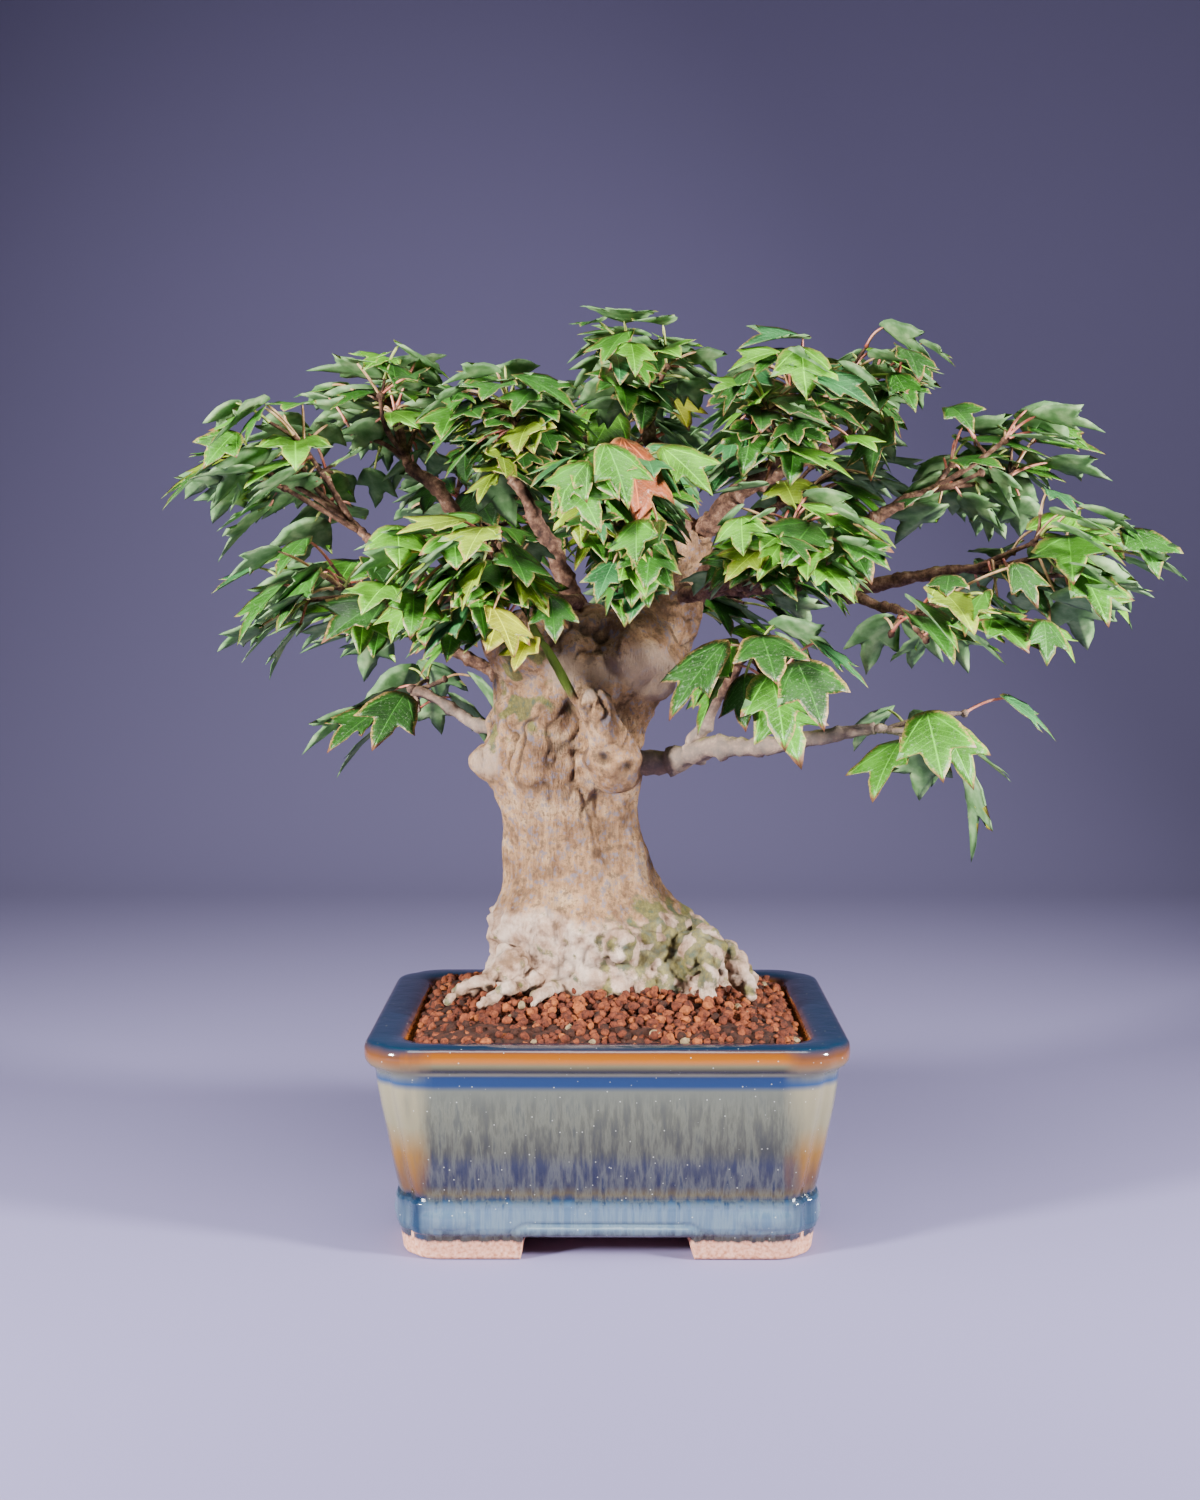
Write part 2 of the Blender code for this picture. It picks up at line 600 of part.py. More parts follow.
def swollen_copy(item, group):
    """A copy of a solid, larger all round by the gap, to cut its neighbour clear."""
    copy = bpy.data.objects.new(item.name + "_swollen", item.data.copy())
    group.objects.link(copy)
    bm = bmesh.new()
    bm.from_mesh(copy.data)
    bm.normal_update()
    moves = [(vert, vert.normal * GAP * 1.25 * MM) for vert in bm.verts]
    for vert, move in moves:
        vert.co += move
    bm.to_mesh(copy.data)
    bm.free()
    return copy


def make_boughs(plans, trunk, group):
    """The boughs, each cut clear of the trunk and of the boughs before it."""
    bark = material("brown_bough_bark", BOUGH_BARK, 0.85)
    made = [trunk]
    for key, (points, radii) in plans.items():
        bough = tube(points, radii, "bough_" + key, group)
        combine(bough, [swollen_copy(item, group) for item in made], "DIFFERENCE")
        finish(bough, bark, 50)
        made.append(bough)
    return made[1:]


def limb_table(plans):
    """Every limb as short straight pieces: starts, ends and radii, for clearance tests."""
    starts, ends, radii = [], [], []
    runs = [((foot, tip), sizes) for foot, tip, *sizes in FUSED_LIMBS] + list(plans.values())
    for points, sizes in runs:
        for k in range(len(points) - 1):
            starts.append(points[k])
            ends.append(points[k + 1])
            radii.append(max(sizes[k], sizes[k + 1]))
    for x, y, z, radius in KNOBS:
        starts.append((x, y, z))
        ends.append((x, y, z + 0.01))
        radii.append(radius)
    return np.array(starts), np.array(ends), np.array(radii)


def clear_of_limbs(points, limbs, clearance):
    """True where no point lies inside a limb or the trunk, or closer than the clearance."""
    starts, ends, radii = limbs
    runs = ends - starts
    to_points = points[:, None, :] - starts[None]
    t = np.clip((to_points * runs).sum(-1) / (runs * runs).sum(-1), 0, 1)
    away = np.linalg.norm(to_points - t[..., None] * runs, axis=-1) - radii
    if away.min() < clearance:
        return False
    x, y, z = points.T
    table = np.array(TRUNK_ROWS)
    left, right, front, back = (np.interp(z, table[:, 0], table[:, k]) for k in (1, 2, 3, 4))
    from_side = (x - (left + right) / 2) / ((right - left) / 2 * TRUNK_SWELL + clearance)
    from_front = (y - (front + back) / 2) / ((back - front) / 2 * TRUNK_SWELL + clearance)
    return not ((from_side**2 + from_front**2 < 1) & (z < table[-1, 0] + clearance)).any()


def in_own_space(points, centre, others):
    """True where every point is nearer the mass's own centre than any other's."""
    for other in others:
        way = centre - other
        size = np.linalg.norm(way)
        if ((points - (centre + other) / 2) @ (way / size)).min() < CELL_CLEARANCE:
            return False
    return True


def direction(bearing, slope):
    """The unit vector at a bearing and a slope in radians."""
    return Vector((math.cos(bearing) * math.cos(slope), math.sin(bearing) * math.cos(slope),
                   math.sin(slope)))


def leaf_frame(root, bearing, slope, roll, length):
    """A leaf's root, its directions along, across and off the blade, and its length."""
    along = direction(bearing, slope)
    level = Vector((math.sin(bearing), -math.cos(bearing), 0.0))
    across = level * math.cos(roll) + level.cross(along) * math.sin(roll)
    return Vector(root), along, across, across.cross(along), length


def blade_point(frame, u, v):
    """A point of the blade: its lobes rise with the fold, and its tip sags."""
    root, along, across, off, length = frame
    rise = LEAF_FOLD * abs(v) - LEAF_SAG * u * u
    return root + (along * u + across * v + off * rise) * length


def blade_outline(frame):
    """The outline's points in order: up one side, the tip, and down the other side."""
    shares = [*HALF_OUTLINE, (1.0, 0.0), *[(u, -v) for u, v in reversed(HALF_OUTLINE)]]
    return [blade_point(frame, u, v) for u, v in shares]


def leaf_samples(frame):
    """Points spread over a blade, for clearance tests."""
    outline = np.array(blade_outline(frame))
    heart = np.array(blade_point(frame, LEAF_HEART, 0.0))
    middles = (outline + np.roll(outline, -1, axis=0)) / 2
    rim = np.vstack((outline, middles))
    return np.vstack([heart] + [heart + (rim - heart) * share for share in (0.35, 0.7, 1.0)])


def leaf_shell(start, frame):
    """The corners and triangles of a leaf, closed, with its three-sided stalk.

    The blade is its outline with a pole above and below its heart. The stalk's keel lies
    under the blade's root, and the stalk tapers to a foot that is sunk in the twig.
    """
    root, along, _, off, _ = frame
    heart = blade_point(frame, LEAF_HEART, 0.0)
    outline = blade_outline(frame)
    last = len(outline) - 1
    keel, upper, lower, foot = (last + k for k in (1, 2, 3, 4))
    corners = outline + [root + (along - off) * STALK_KEEL]
    corners += [heart + off * LEAF_THICKNESS * half for half in (0.5, -0.5)]
    corners.append(start - (root - start).normalized() * TWIG_RADIUS * ROOT_DEPTH)
    faces = [(k, k + 1, upper) for k in range(last)] + [(last, 0, upper)]
    faces += [(k + 1, k, lower) for k in range(last)] + [(0, keel, lower), (keel, last, lower)]
    return corners, faces + [(0, last, foot), (last, keel, foot), (keel, 0, foot)]


def twig_shell(start, end, radius):
    """The corners and triangles of a square prism round a twig."""
    unit = (end - start).normalized()
    side = unit.orthogonal().normalized() * radius
    other = unit.cross(side)
    ring = [side, other, -side, -other]
    corners = [start + edge for edge in ring] + [end + edge for edge in ring]
    faces = []
    for k in range(4):
        after = (k + 1) % 4
        faces += [(k, after, 4 + after), (k, 4 + after, 4 + k)]
    return corners, faces


class Mass:
    """The plan of one mass: its stem and twigs, and the leaves that found room."""

    def __init__(self, key, plans, limbs, taken):
        row = MASSES[key]
        centre, self.half, tip, self.lead_length, lead_slope, self.sprays, usual, self.most, seed = row
        self.rng = random.Random("%s %d" % (key, seed))
        self.limbs = limbs
        self.taken = taken
        self.centre = Vector(centre)
        self.own = np.array(centre, dtype=float)
        self.others = [np.array(other[0], dtype=float) for name, other in MASSES.items() if name != key]
        self.usual_slope = usual
        self.lead_slope = math.radians(lead_slope)
        self.lead_bearing = math.atan2(tip[1] - centre[1], tip[0] - centre[0])
        self.lead_root = Vector(tip) - direction(self.lead_bearing, self.lead_slope) * self.lead_length
        self.leaves = []
        self.trees = []
        self.plan_stem(plans[key][0])
        self.plan_twigs()
        self.plan_leaves()

    def plan_stem(self, bough):
        """The stem, from just clear of the bough's flat tip to the hub where its twigs part."""
        heading = (bough[-1] - bough[-2]).normalized()
        self.hub = bough[-1].lerp(self.centre, HUB_SHARE)
        self.hub.z -= HUB_DROP * self.half[2]
        lean = heading.angle(self.hub - bough[-1])
        self.foot = bough[-1] + heading * (GAP + STEM_RADIUS * math.sin(lean))

    def has_room(self, points, clearance):
        """True where the points are clear of limbs and keep to the mass's own space."""
        return clear_of_limbs(points, self.limbs, clearance) and in_own_space(points, self.own, self.others)

    def twig_fits(self, start, end):
        """True where the outer part of a twig has room."""
        return self.has_room(np.array([start.lerp(end, t) for t in (0.3, 0.6, 1.0)]), TWIG_RADIUS)

    def plan_twigs(self):
        """The leading twig, then twigs at golden angles round the centre, wherever they fit."""
        lead = self.lead_root.lerp(self.hub, LEAD_SHARE)
        lead.z -= LEAD_DROP
        self.spots = [lead]
        self.twigs = [(self.foot, self.hub, STEM_RADIUS, TWIG_RADIUS * 1.15),
                      (self.hub, lead, TWIG_RADIUS, TWIG_RADIUS * TWIG_TAPER)]
        turn = self.rng.uniform(0, 2 * math.pi)
        nearest, furthest = SPRAY_SHARES
        for k in range(self.sprays * SPRAY_TRIES):
            angle = turn + k * GOLDEN_ANGLE
            share = nearest + (furthest - nearest) * ((k * GOLDEN_SHARE) % 1.0)
            spot = self.centre + Vector((self.half[0] * share * math.cos(angle),
                                         self.half[1] * share * math.sin(angle),
                                         self.half[2] * self.rng.uniform(*SPRAY_HEIGHTS)))
            fork = self.hub.lerp(self.foot, FORK_STEP * len(self.spots))
            apart = min((spot - other).length for other in self.spots) > SPRAY_CLEARANCE
            if len(self.spots) <= self.sprays and apart and self.twig_fits(fork, spot):
                self.spots.append(spot)
                self.twigs.append((fork, spot, TWIG_RADIUS, TWIG_RADIUS * TWIG_TAPER))

    def plan_leaves(self):
        """The leaf with the furthest tip, then a fan of leaves at the end of each twig."""
        twig_trees = [BVHTree.FromPolygons(*twig_shell(*twig[:3])) for twig in self.twigs]
        lead_leaf = (self.lead_bearing, self.lead_slope, self.lead_length)
        self.try_leaf(self.spots[0], *lead_leaf, twig_trees[:1] + twig_trees[2:], self.lead_root)
        for number, spot in enumerate(self.spots):
            way = spot - self.hub
            own_twig = number + 1
            trees = twig_trees[:own_twig] + twig_trees[own_twig + 1:]
            self.plan_fan(spot, way, 1 if number == 0 else 0, trees)

    def plan_fan(self, spot, way, first, trees):
        """Up to a few leaves round the end of one twig, each a step further back on it."""
        grown = 0
        for fan in FAN_BEARINGS:
            for _ in range(LEAF_TRIES):
                if grown == LEAVES_PER_SPRAY or len(self.leaves) == self.most:
                    return
                turn = self.rng.uniform(-FAN_JITTER, FAN_JITTER)
                tilt = self.rng.uniform(-FAN_JITTER, FAN_JITTER)
                bearing = math.atan2(way.y, way.x) + math.radians(fan + turn)
                slope = math.radians(self.usual_slope + tilt)
                start = spot - way.normalized() * LEAF_STEP * (first + grown)
                if self.try_leaf(start, bearing, slope, self.rng.uniform(*LEAF_LENGTHS), trees):
                    grown += 1
                    break

    def try_leaf(self, start, bearing, slope, length, twig_trees, root=None):
        """Adds a leaf where it and its stalk have room and cross nothing, and says whether."""
        roll = math.radians(self.rng.uniform(-LEAF_ROLL, LEAF_ROLL))
        stalk = self.rng.uniform(*STALK_LENGTHS)
        rise = math.radians(self.rng.uniform(*STALK_RISES))
        root = root or start + direction(bearing, rise) * stalk
        frame = leaf_frame(root, bearing, slope, roll, length)
        stalk_samples = [np.array(start.lerp(root, t)) for t in (0.5, 0.8)]
        samples = np.vstack([leaf_samples(frame)] + stalk_samples)
        if not self.has_room(samples, LIMB_CLEARANCE) or not self.twig_fits(start, root):
            return False
        near = [other for other in self.taken if np.abs(other[0] - samples[0]).max() < LEAF_REACH]
        if near:
            away = np.linalg.norm(np.vstack(near)[:, None] - samples[None], axis=-1)
            if away.min() < LEAF_CLEARANCE:
                return False
        tree = BVHTree.FromPolygons(*leaf_shell(start, frame))
        if any(tree.overlap(other) for other in twig_trees + self.trees):
            return False
        self.taken.append(samples)
        self.trees.append(tree)
        self.leaves.append((start, frame))
        return True


def cone_between(start, end, start_radius, end_radius, twist, group):
    """A three-sided twig from start to end, run on a little past its end and twisted."""
    way = end - start
    unit = way.normalized()
    end = end + unit * end_radius
    bm = bmesh.new()
    bmesh.ops.create_cone(bm, cap_ends=True, segments=3, radius1=start_radius, radius2=end_radius,
                          depth=(end - start).length)
    turn = Vector((0, 0, 1)).rotation_difference(unit).to_matrix().to_4x4() @ Matrix.Rotation(twist, 4, "Z")
    bmesh.ops.transform(bm, matrix=Matrix.Translation((start + end) / 2) @ turn, verts=bm.verts)
    return object_from(bm, "twig", group)


def leaf_solid(start, frame, group):
    """A lobed leaf and its stalk as one closed solid."""
    corners, faces = leaf_shell(start, frame)
    bm = bmesh.new()
    verts = [bm.verts.new(corner) for corner in corners]
    for face in faces:
        bm.faces.new([verts[k] for k in face])
    return object_from(bm, "leaf", group)


def make_mass(name, plan, made, group):
    """Fuses a mass's twigs and leaves, twisted anew and then with fewer leaves if it fails."""
    for attempt in range(len(plan.leaves) * UNION_TWISTS):
        kept = len(plan.leaves) - attempt // UNION_TWISTS
        pieces = [cone_between(*twig, TWIST_STEP * (k + attempt), group)
                  for k, twig in enumerate(plan.twigs)]
        pieces += [leaf_solid(start, frame, group) for start, frame in plan.leaves[:kept]]
        mass = pieces[0]
        if combine(mass, pieces[1:], "UNION"):
            break
        bpy.data.objects.remove(mass, do_unlink=True)
    mass.name = name
    finish(mass, made)
    return mass


def centre_on_origin(group):
    """Moves every solid so that the origin lies under the middle of the whole plant."""
    corners = [Vector(corner) for item in group.objects for corner in item.bound_box]
    low = [min(corner[axis] for corner in corners) for axis in (0, 1)]
    high = [max(corner[axis] for corner in corners) for axis in (0, 1)]
    move = Matrix.Translation((-(low[0] + high[0]) / 2, -(low[1] + high[1]) / 2, 0.0))
    for item in bpy.data.objects:
        item.data.transform(move)


def main():
    """Builds the pot, the soil, the trunk, the boughs and the masses in turn."""
    clear_scene()
    plant = collection("potted_trident_maple")
    cutters = collection("cutters")
    make_pot(plant, cutters)
    make_soil(plant)
    trunk = make_trunk(plant)
    plans = plan_boughs()
    make_boughs(plans, trunk, plant)
    limbs = limb_table(plans)
    greens = [material("green_leaf_%d" % k, colour, 0.5) for k, colour in enumerate(LEAF_GREENS)]
    taken = []
    for number, key in enumerate(MASSES):
        plan = Mass(key, plans, limbs, taken)
        make_mass("leaves_" + key, plan, greens[number % len(greens)], plant)
    centre_on_origin(plant)


main()
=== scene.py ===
"""A potted trident maple, kept as a small bonsai: its pot, soil, trunk, boughs and foliage.

Lengths are in millimetres about the middle of the pot, with heights from the table. Each piece
is shifted to the frame when its mesh is made.
"""
import itertools
import math
import random

import bpy
import numpy as np
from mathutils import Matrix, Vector
from mathutils.bvhtree import BVHTree


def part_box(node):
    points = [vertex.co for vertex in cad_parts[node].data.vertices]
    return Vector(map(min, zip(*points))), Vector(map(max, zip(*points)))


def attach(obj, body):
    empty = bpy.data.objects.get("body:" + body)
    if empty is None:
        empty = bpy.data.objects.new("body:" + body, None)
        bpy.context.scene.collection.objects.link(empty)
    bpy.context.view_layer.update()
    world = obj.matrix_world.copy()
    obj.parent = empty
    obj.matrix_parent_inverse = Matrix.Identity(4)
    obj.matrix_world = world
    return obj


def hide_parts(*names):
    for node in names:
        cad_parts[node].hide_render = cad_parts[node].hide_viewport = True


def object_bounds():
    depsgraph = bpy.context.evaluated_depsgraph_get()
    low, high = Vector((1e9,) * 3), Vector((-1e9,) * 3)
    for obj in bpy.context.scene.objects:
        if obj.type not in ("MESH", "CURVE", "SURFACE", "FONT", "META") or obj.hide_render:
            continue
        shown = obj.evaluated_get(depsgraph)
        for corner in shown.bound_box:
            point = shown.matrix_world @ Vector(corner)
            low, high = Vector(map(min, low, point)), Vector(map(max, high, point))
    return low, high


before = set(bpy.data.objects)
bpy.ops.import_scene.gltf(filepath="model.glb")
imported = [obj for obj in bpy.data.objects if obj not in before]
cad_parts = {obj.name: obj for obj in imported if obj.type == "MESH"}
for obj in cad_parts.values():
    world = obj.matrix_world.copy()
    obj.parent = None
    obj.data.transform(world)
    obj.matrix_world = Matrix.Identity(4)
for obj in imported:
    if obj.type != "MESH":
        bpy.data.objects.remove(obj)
cad_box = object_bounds()

# The middle of the pot in the frame, which every length in this file is measured from.
pot_low, pot_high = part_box("pot")
POT_AT = np.array([(pot_low[0] + pot_high[0]) / 2, (pot_low[1] + pot_high[1]) / 2, 0.0])
MM = 0.001
BOX_LOW = (np.array(cad_box[0]) - POT_AT) / MM
BOX_HIGH = (np.array(cad_box[1]) - POT_AT) / MM

# Camera: eye level a little above the crown's foot, about 0.6 m from the tree, with the
# photograph's lens for a frame of 1200 by 1500.
camera_data = bpy.data.cameras.new("camera")
camera_data.sensor_width = 36.0
camera_data.lens = 45.12
camera_data.clip_start = 0.01
camera = bpy.data.objects.new("camera", camera_data)
camera.location = Vector((0.0, -0.6152, 0.2087)) + Vector(POT_AT)
camera.rotation_euler = (math.radians(90 - 5.05), 0.0, math.radians(0.23))
bpy.context.scene.collection.objects.link(camera)
bpy.context.scene.camera = camera


# Floor and backdrop: one pale sheet of paper that lies on the table and curves up behind.
FLOOR_HALF = 1500.0
FLOOR_NEAR = -1500.0
SWEEP_START = 640.0
SWEEP_RADIUS = 500.0
SWEEP_TOP = 2200.0
SWEEP_STEPS = 25


def mesh_from(name, points, faces):
    """A mesh in metres from an array of points in millimetres and a list of face arrays."""
    mesh = bpy.data.meshes.new(name)
    corners = np.concatenate([part.ravel() for part in faces]).astype(np.int32)
    sizes = np.concatenate([np.full(len(part), part.shape[1]) for part in faces])
    mesh.vertices.add(len(points))
    mesh.vertices.foreach_set("co", (points * MM + POT_AT).astype(np.float32).ravel())
    mesh.loops.add(len(corners))
    mesh.loops.foreach_set("vertex_index", corners)
    mesh.polygons.add(len(sizes))
    mesh.polygons.foreach_set("loop_start", (np.cumsum(sizes) - sizes).astype(np.int32))
    mesh.update(calc_edges=True)
    mesh.validate()
    mesh.shade_smooth()
    return mesh


def piece_from(name, points, faces, finishes, slots=None):
    """An object with its place in its mesh, and its materials dealt to the faces by slot."""
    mesh = mesh_from(name, points, faces)
    piece = bpy.data.objects.new(name, mesh)
    bpy.context.scene.collection.objects.link(piece)
    for finish in finishes:
        mesh.materials.append(finish)
    if slots is not None:
        mesh.polygons.foreach_set("material_index", slots.astype(np.int32))
    return piece


def colour(text, strength=1.0):
    """Turns an sRGB hex value such as 7d8078 into linear red, green, blue and alpha."""
    shares = [int(text[k:k + 2], 16) / 255 for k in (0, 2, 4)]
    linear = [s / 12.92 if s <= 0.04045 else ((s + 0.055) / 1.055)**2.4 for s in shares]
    return [min(1.0, part * strength) for part in linear] + [1.0]


def add(tree, kind, inputs=None, stops=None, **settings):
    """Adds a node: an input is a value or another node's output, and stops fill a colour ramp."""
    made = tree.nodes.new("ShaderNode" + kind)
    for name, value in settings.items():
        setattr(made, name, value)
    for socket, value in (inputs or {}).items():
        if isinstance(value, bpy.types.NodeSocket):
            tree.links.new(value, made.inputs[socket])
        else:
            made.inputs[socket].default_value = value
    if stops:
        elements = made.color_ramp.elements
        while len(elements) < len(stops):
            elements.new(1.0)
        for element, (place, shade) in zip(elements, stops):
            element.position = place
            element.color = shade
    return made


def stretched(tree, place, scale):
    """A place scaled by three factors, so that a texture on it is drawn out along an axis."""
    return add(tree, "Mapping", {"Vector": place, "Scale": scale}).outputs["Vector"]


def finish_named(name, **sockets):
    """A Principled material with plain values on its sockets: it, its tree, shader and place.

    The place is Object coordinates in millimetres about the middle of the pot.
    """
    made = bpy.data.materials.new(name)
    made.use_nodes = True
    shader = made.node_tree.nodes["Principled BSDF"]
    for socket, value in sockets.items():
        shader.inputs[socket.replace("_", " ")].default_value = value
    metres = add(made.node_tree, "TexCoord").outputs["Object"]
    place = add(made.node_tree, "Mapping", {"Vector": metres, "Location": -POT_AT / MM,
                                            "Scale": [1 / MM] * 3}).outputs["Vector"]
    return made, made.node_tree, shader, place


def paper_sweep():
    """A profile of floor, quarter circle and wall, carried along X."""
    turn = np.linspace(0, math.pi / 2, SWEEP_STEPS)
    y = np.concatenate(([FLOOR_NEAR], SWEEP_START + SWEEP_RADIUS * np.sin(turn),
                        [SWEEP_START + SWEEP_RADIUS]))
    z = np.concatenate(([0.0], SWEEP_RADIUS * (1 - np.cos(turn)), [SWEEP_TOP]))
    x = np.array([-FLOOR_HALF, FLOOR_HALF])
    points = np.stack([np.repeat(x, len(y)), np.tile(y, 2), np.tile(z, 2)], axis=1)
    k = np.arange(len(y) - 1)
    return points, [np.stack([k, k + len(y), k + len(y) + 1, k + 1], axis=1)]


# Uncoated paper from a roll: lilac grey and quite matt, so that it shows soft shadows.
paper, tree, shader, place = finish_named("pale_matt_paper", Roughness=0.9,
                                          Base_Color=colour("7d769c"))
backdrop = piece_from("backdrop", *paper_sweep(), [paper])

# Light: two softboxes, left and right of the camera, and a weak fill from above.
# Each row is a name, a place, a side, a power in watts and how wide it throws in degrees.
SOFTBOXES = (
    ("softbox_left", (-640.0, -470.0, 310.0), 120.0, 10.4, 116.0),
    ("softbox_right", (700.0, -360.0, 340.0), 130.0, 7.8, 100.0),
    ("fill_above", (0.0, -260.0, 760.0), 500.0, 1.4, 80.0),
)
for name, place, size, power, throw in SOFTBOXES:
    lamp_data = bpy.data.lights.new(name, "AREA")
    lamp_data.size = size * MM
    lamp_data.energy = power
    lamp_data.spread = math.radians(throw)
    lamp = bpy.data.objects.new(name, lamp_data)
    lamp.location = Vector(np.array(place) * MM + POT_AT)
    aim = Vector(np.array((0.0, 0.0, 110.0)) * MM + POT_AT) - lamp.location
    lamp.rotation_euler = aim.to_track_quat("-Z", "Y").to_euler()
    bpy.context.scene.collection.objects.link(lamp)
world = bpy.data.worlds.new("studio_air")
world.use_nodes = True
world.node_tree.nodes["Background"].inputs["Color"].default_value = colour("d9d6ee")
world.node_tree.nodes["Background"].inputs["Strength"].default_value = 0.07
bpy.context.scene.world = world

# Pot: a rectangular stoneware pot, pressed in a mould, standing on a foot ring that is cut
# away between the corners. The glaze ran in the kiln, and the feet were wiped bare.
# Each row is height, half length, half depth and corner radius, from the foot to the rim.
POT_OUTSIDE = np.array([
    (0.0, 63.0, 48.2, 12.0), (0.5, 63.9, 49.1, 12.6), (1.4, 64.4, 49.6, 13.0),
    (8.0, 65.2, 50.6, 13.5), (9.0, 66.0, 51.5, 13.8), (11.0, 66.5, 52.1, 14.0),
    (13.5, 66.4, 52.1, 14.0), (16.5, 66.4, 52.1, 14.0), (18.2, 66.6, 52.3, 14.0),
    (19.2, 66.1, 51.9, 14.0), (19.9, 65.5, 51.3, 14.0), (21.0, 65.7, 51.6, 14.0),
    (24.0, 66.4, 52.2, 14.0), (32.0, 67.8, 53.5, 14.2), (40.0, 69.0, 54.6, 14.5),
    (48.0, 70.4, 55.9, 14.7), (56.0, 71.6, 56.9, 15.0), (59.2, 71.8, 57.1, 15.0),
    (60.6, 72.4, 57.7, 15.2), (61.8, 73.9, 59.2, 15.5), (63.2, 74.8, 60.1, 16.0),
    (65.0, 75.0, 60.3, 16.0), (66.8, 75.0, 60.3, 16.0), (68.0, 74.7, 60.0, 16.0),
    (68.8, 74.0, 59.3, 15.6), (69.2, 72.6, 57.9, 15.0)])
POT_INSIDE = np.array([
    (69.15, 68.0, 53.4, 12.0), (68.8, 64.4, 50.0, 10.0), (68.0, 63.1, 48.7, 9.2),
    (66.6, 62.0, 47.6, 8.5), (40.0, 60.0, 45.6, 7.8), (14.0, 58.0, 43.6, 7.0)])
FOOT_WALL = 10.0
RECESS_HEIGHT = 8.0
ARCH_HALF_LONG = 27.0
ARCH_HALF_SHORT = 20.0
ARCH_EASE = 3.0                 # radius where an arch meets the underside
GROOVE_DEPTH = 1.3              # of the groove down each corner
DIMPLE_DEPTH = 0.9              # of the hollow on the rim over each groove
SIDE_STEPS = 84
CORNER_STEPS = 21
BELT_ROWS = np.arange(8.7, 22.0, 0.7)   # extra rows where the belt has its relief
GLAZE_SAG = 0.16                # how far the walls wander
RELIEF_TOP = 19.5
# The moulding follows the arches: how far from the middle it runs level on the long and the
# short sides, how far its groove is from the arches, the groove's depth and its own rise.
MOULDING_HALVES = (24, 17)
MOULDING_OFFSET = 4.0
MOULDING_GROOVE = 0.7
MOULDING_RISE = 0.45
# Lens forms over the feet: height, half height and rise, then for the long and the short
# sides how far from the middle they stand and half their length.
LENS = (13.6, 3.4, 0.9)
LENS_PLACES = (49.0, 35.0)
LENS_HALVES = (10.0, 7.0)


def noise(points, size, seed):
    """Smooth noise of about -1 to 1, at waves of this size, its lattice turned by the seed.

    Each corner of a cell has a hashed slope. Its height at a point is the slope times the way
    to the point, and the eight heights are eased into one.
    """
    rng = np.random.default_rng(seed)
    turn, _ = np.linalg.qr(rng.normal(size=(3, 3)))
    slopes = rng.normal(size=(256, 3))
    slopes /= np.linalg.norm(slopes, axis=1)[:, None]
    at = points @ turn / size + 100.5
    cell = np.floor(at).astype(np.int64)
    part = at - cell
    ease = part**3 * (part * (part * 6 - 15) + 10)
    total = np.zeros(len(points))
    for corner in itertools.product((0, 1), repeat=3):
        spot = cell + corner
        mixed = spot[:, 0] * 73856093 ^ spot[:, 1] * 19349663 ^ spot[:, 2] * 83492791
        mixed = (mixed ^ mixed >> 13) * 1274126177 & 0x7fffffff
        slope = slopes[(mixed ^ mixed >> 15) & 0xff]
        height = (slope * (part - corner)).sum(axis=1)
        total += height * np.prod(np.where(corner, ease, 1 - ease), axis=1)
    return total * 1.7


def rounded_rectangle(row, groove=0.0):
    """One level ring: four straight sides and four round corners, with a groove in each."""
    height, half_x, half_y, corner = row
    turn = np.radians(np.linspace(0, 90, CORNER_STEPS))
    dent = groove * np.exp(-((np.degrees(turn) - 45) / 9)**2)
    along = (np.arange(SIDE_STEPS) + 1) / (SIDE_STEPS + 1)
    ring = []
    for quarter, (sx, sy) in enumerate(((1, 1), (-1, 1), (-1, -1), (1, -1))):
        angle = turn + math.pi / 2 * quarter
        x = sx * (half_x - corner) + (corner - dent) * np.cos(angle)
        y = sy * (half_y - corner) + (corner - dent) * np.sin(angle)
        ring.append(np.stack([x, y], axis=1))
        nx, ny = ((-1, 1), (-1, -1), (1, -1), (1, 1))[quarter]
        following = math.pi / 2 * (quarter + 1)
        last = np.array([nx * (half_x - corner) + corner * math.cos(following),
                         ny * (half_y - corner) + corner * math.sin(following)])
        ring.append(ring[-1][-1] + (last - ring[-1][-1]) * along[:, None])
    flat = np.concatenate(ring)
    return np.column_stack([flat, np.full(len(flat), height)])


def loft_faces(rings, count, start=0):
    """Quads between rings of equal count, each ring closed on itself."""
    k = np.arange(count)
    after = (k + 1) % count
    base = start + np.arange(rings - 1)[:, None] * count
    return np.stack([base + k, base + after, base + count + after, base + count + k], axis=2).reshape(-1, 4)


def closed_loft(rings, sides):
    """Faces of a loft of rings with a fan to each of the two poles that follow its points."""
    k = np.arange(sides)
    after = (k + 1) % sides
    last = (rings - 1) * sides
    low = np.stack([np.full(sides, rings * sides), after, k], axis=1)
    top = np.stack([np.full(sides, rings * sides + 1), last + k, last + after], axis=1)
    return [loft_faces(rings, sides), low, top]


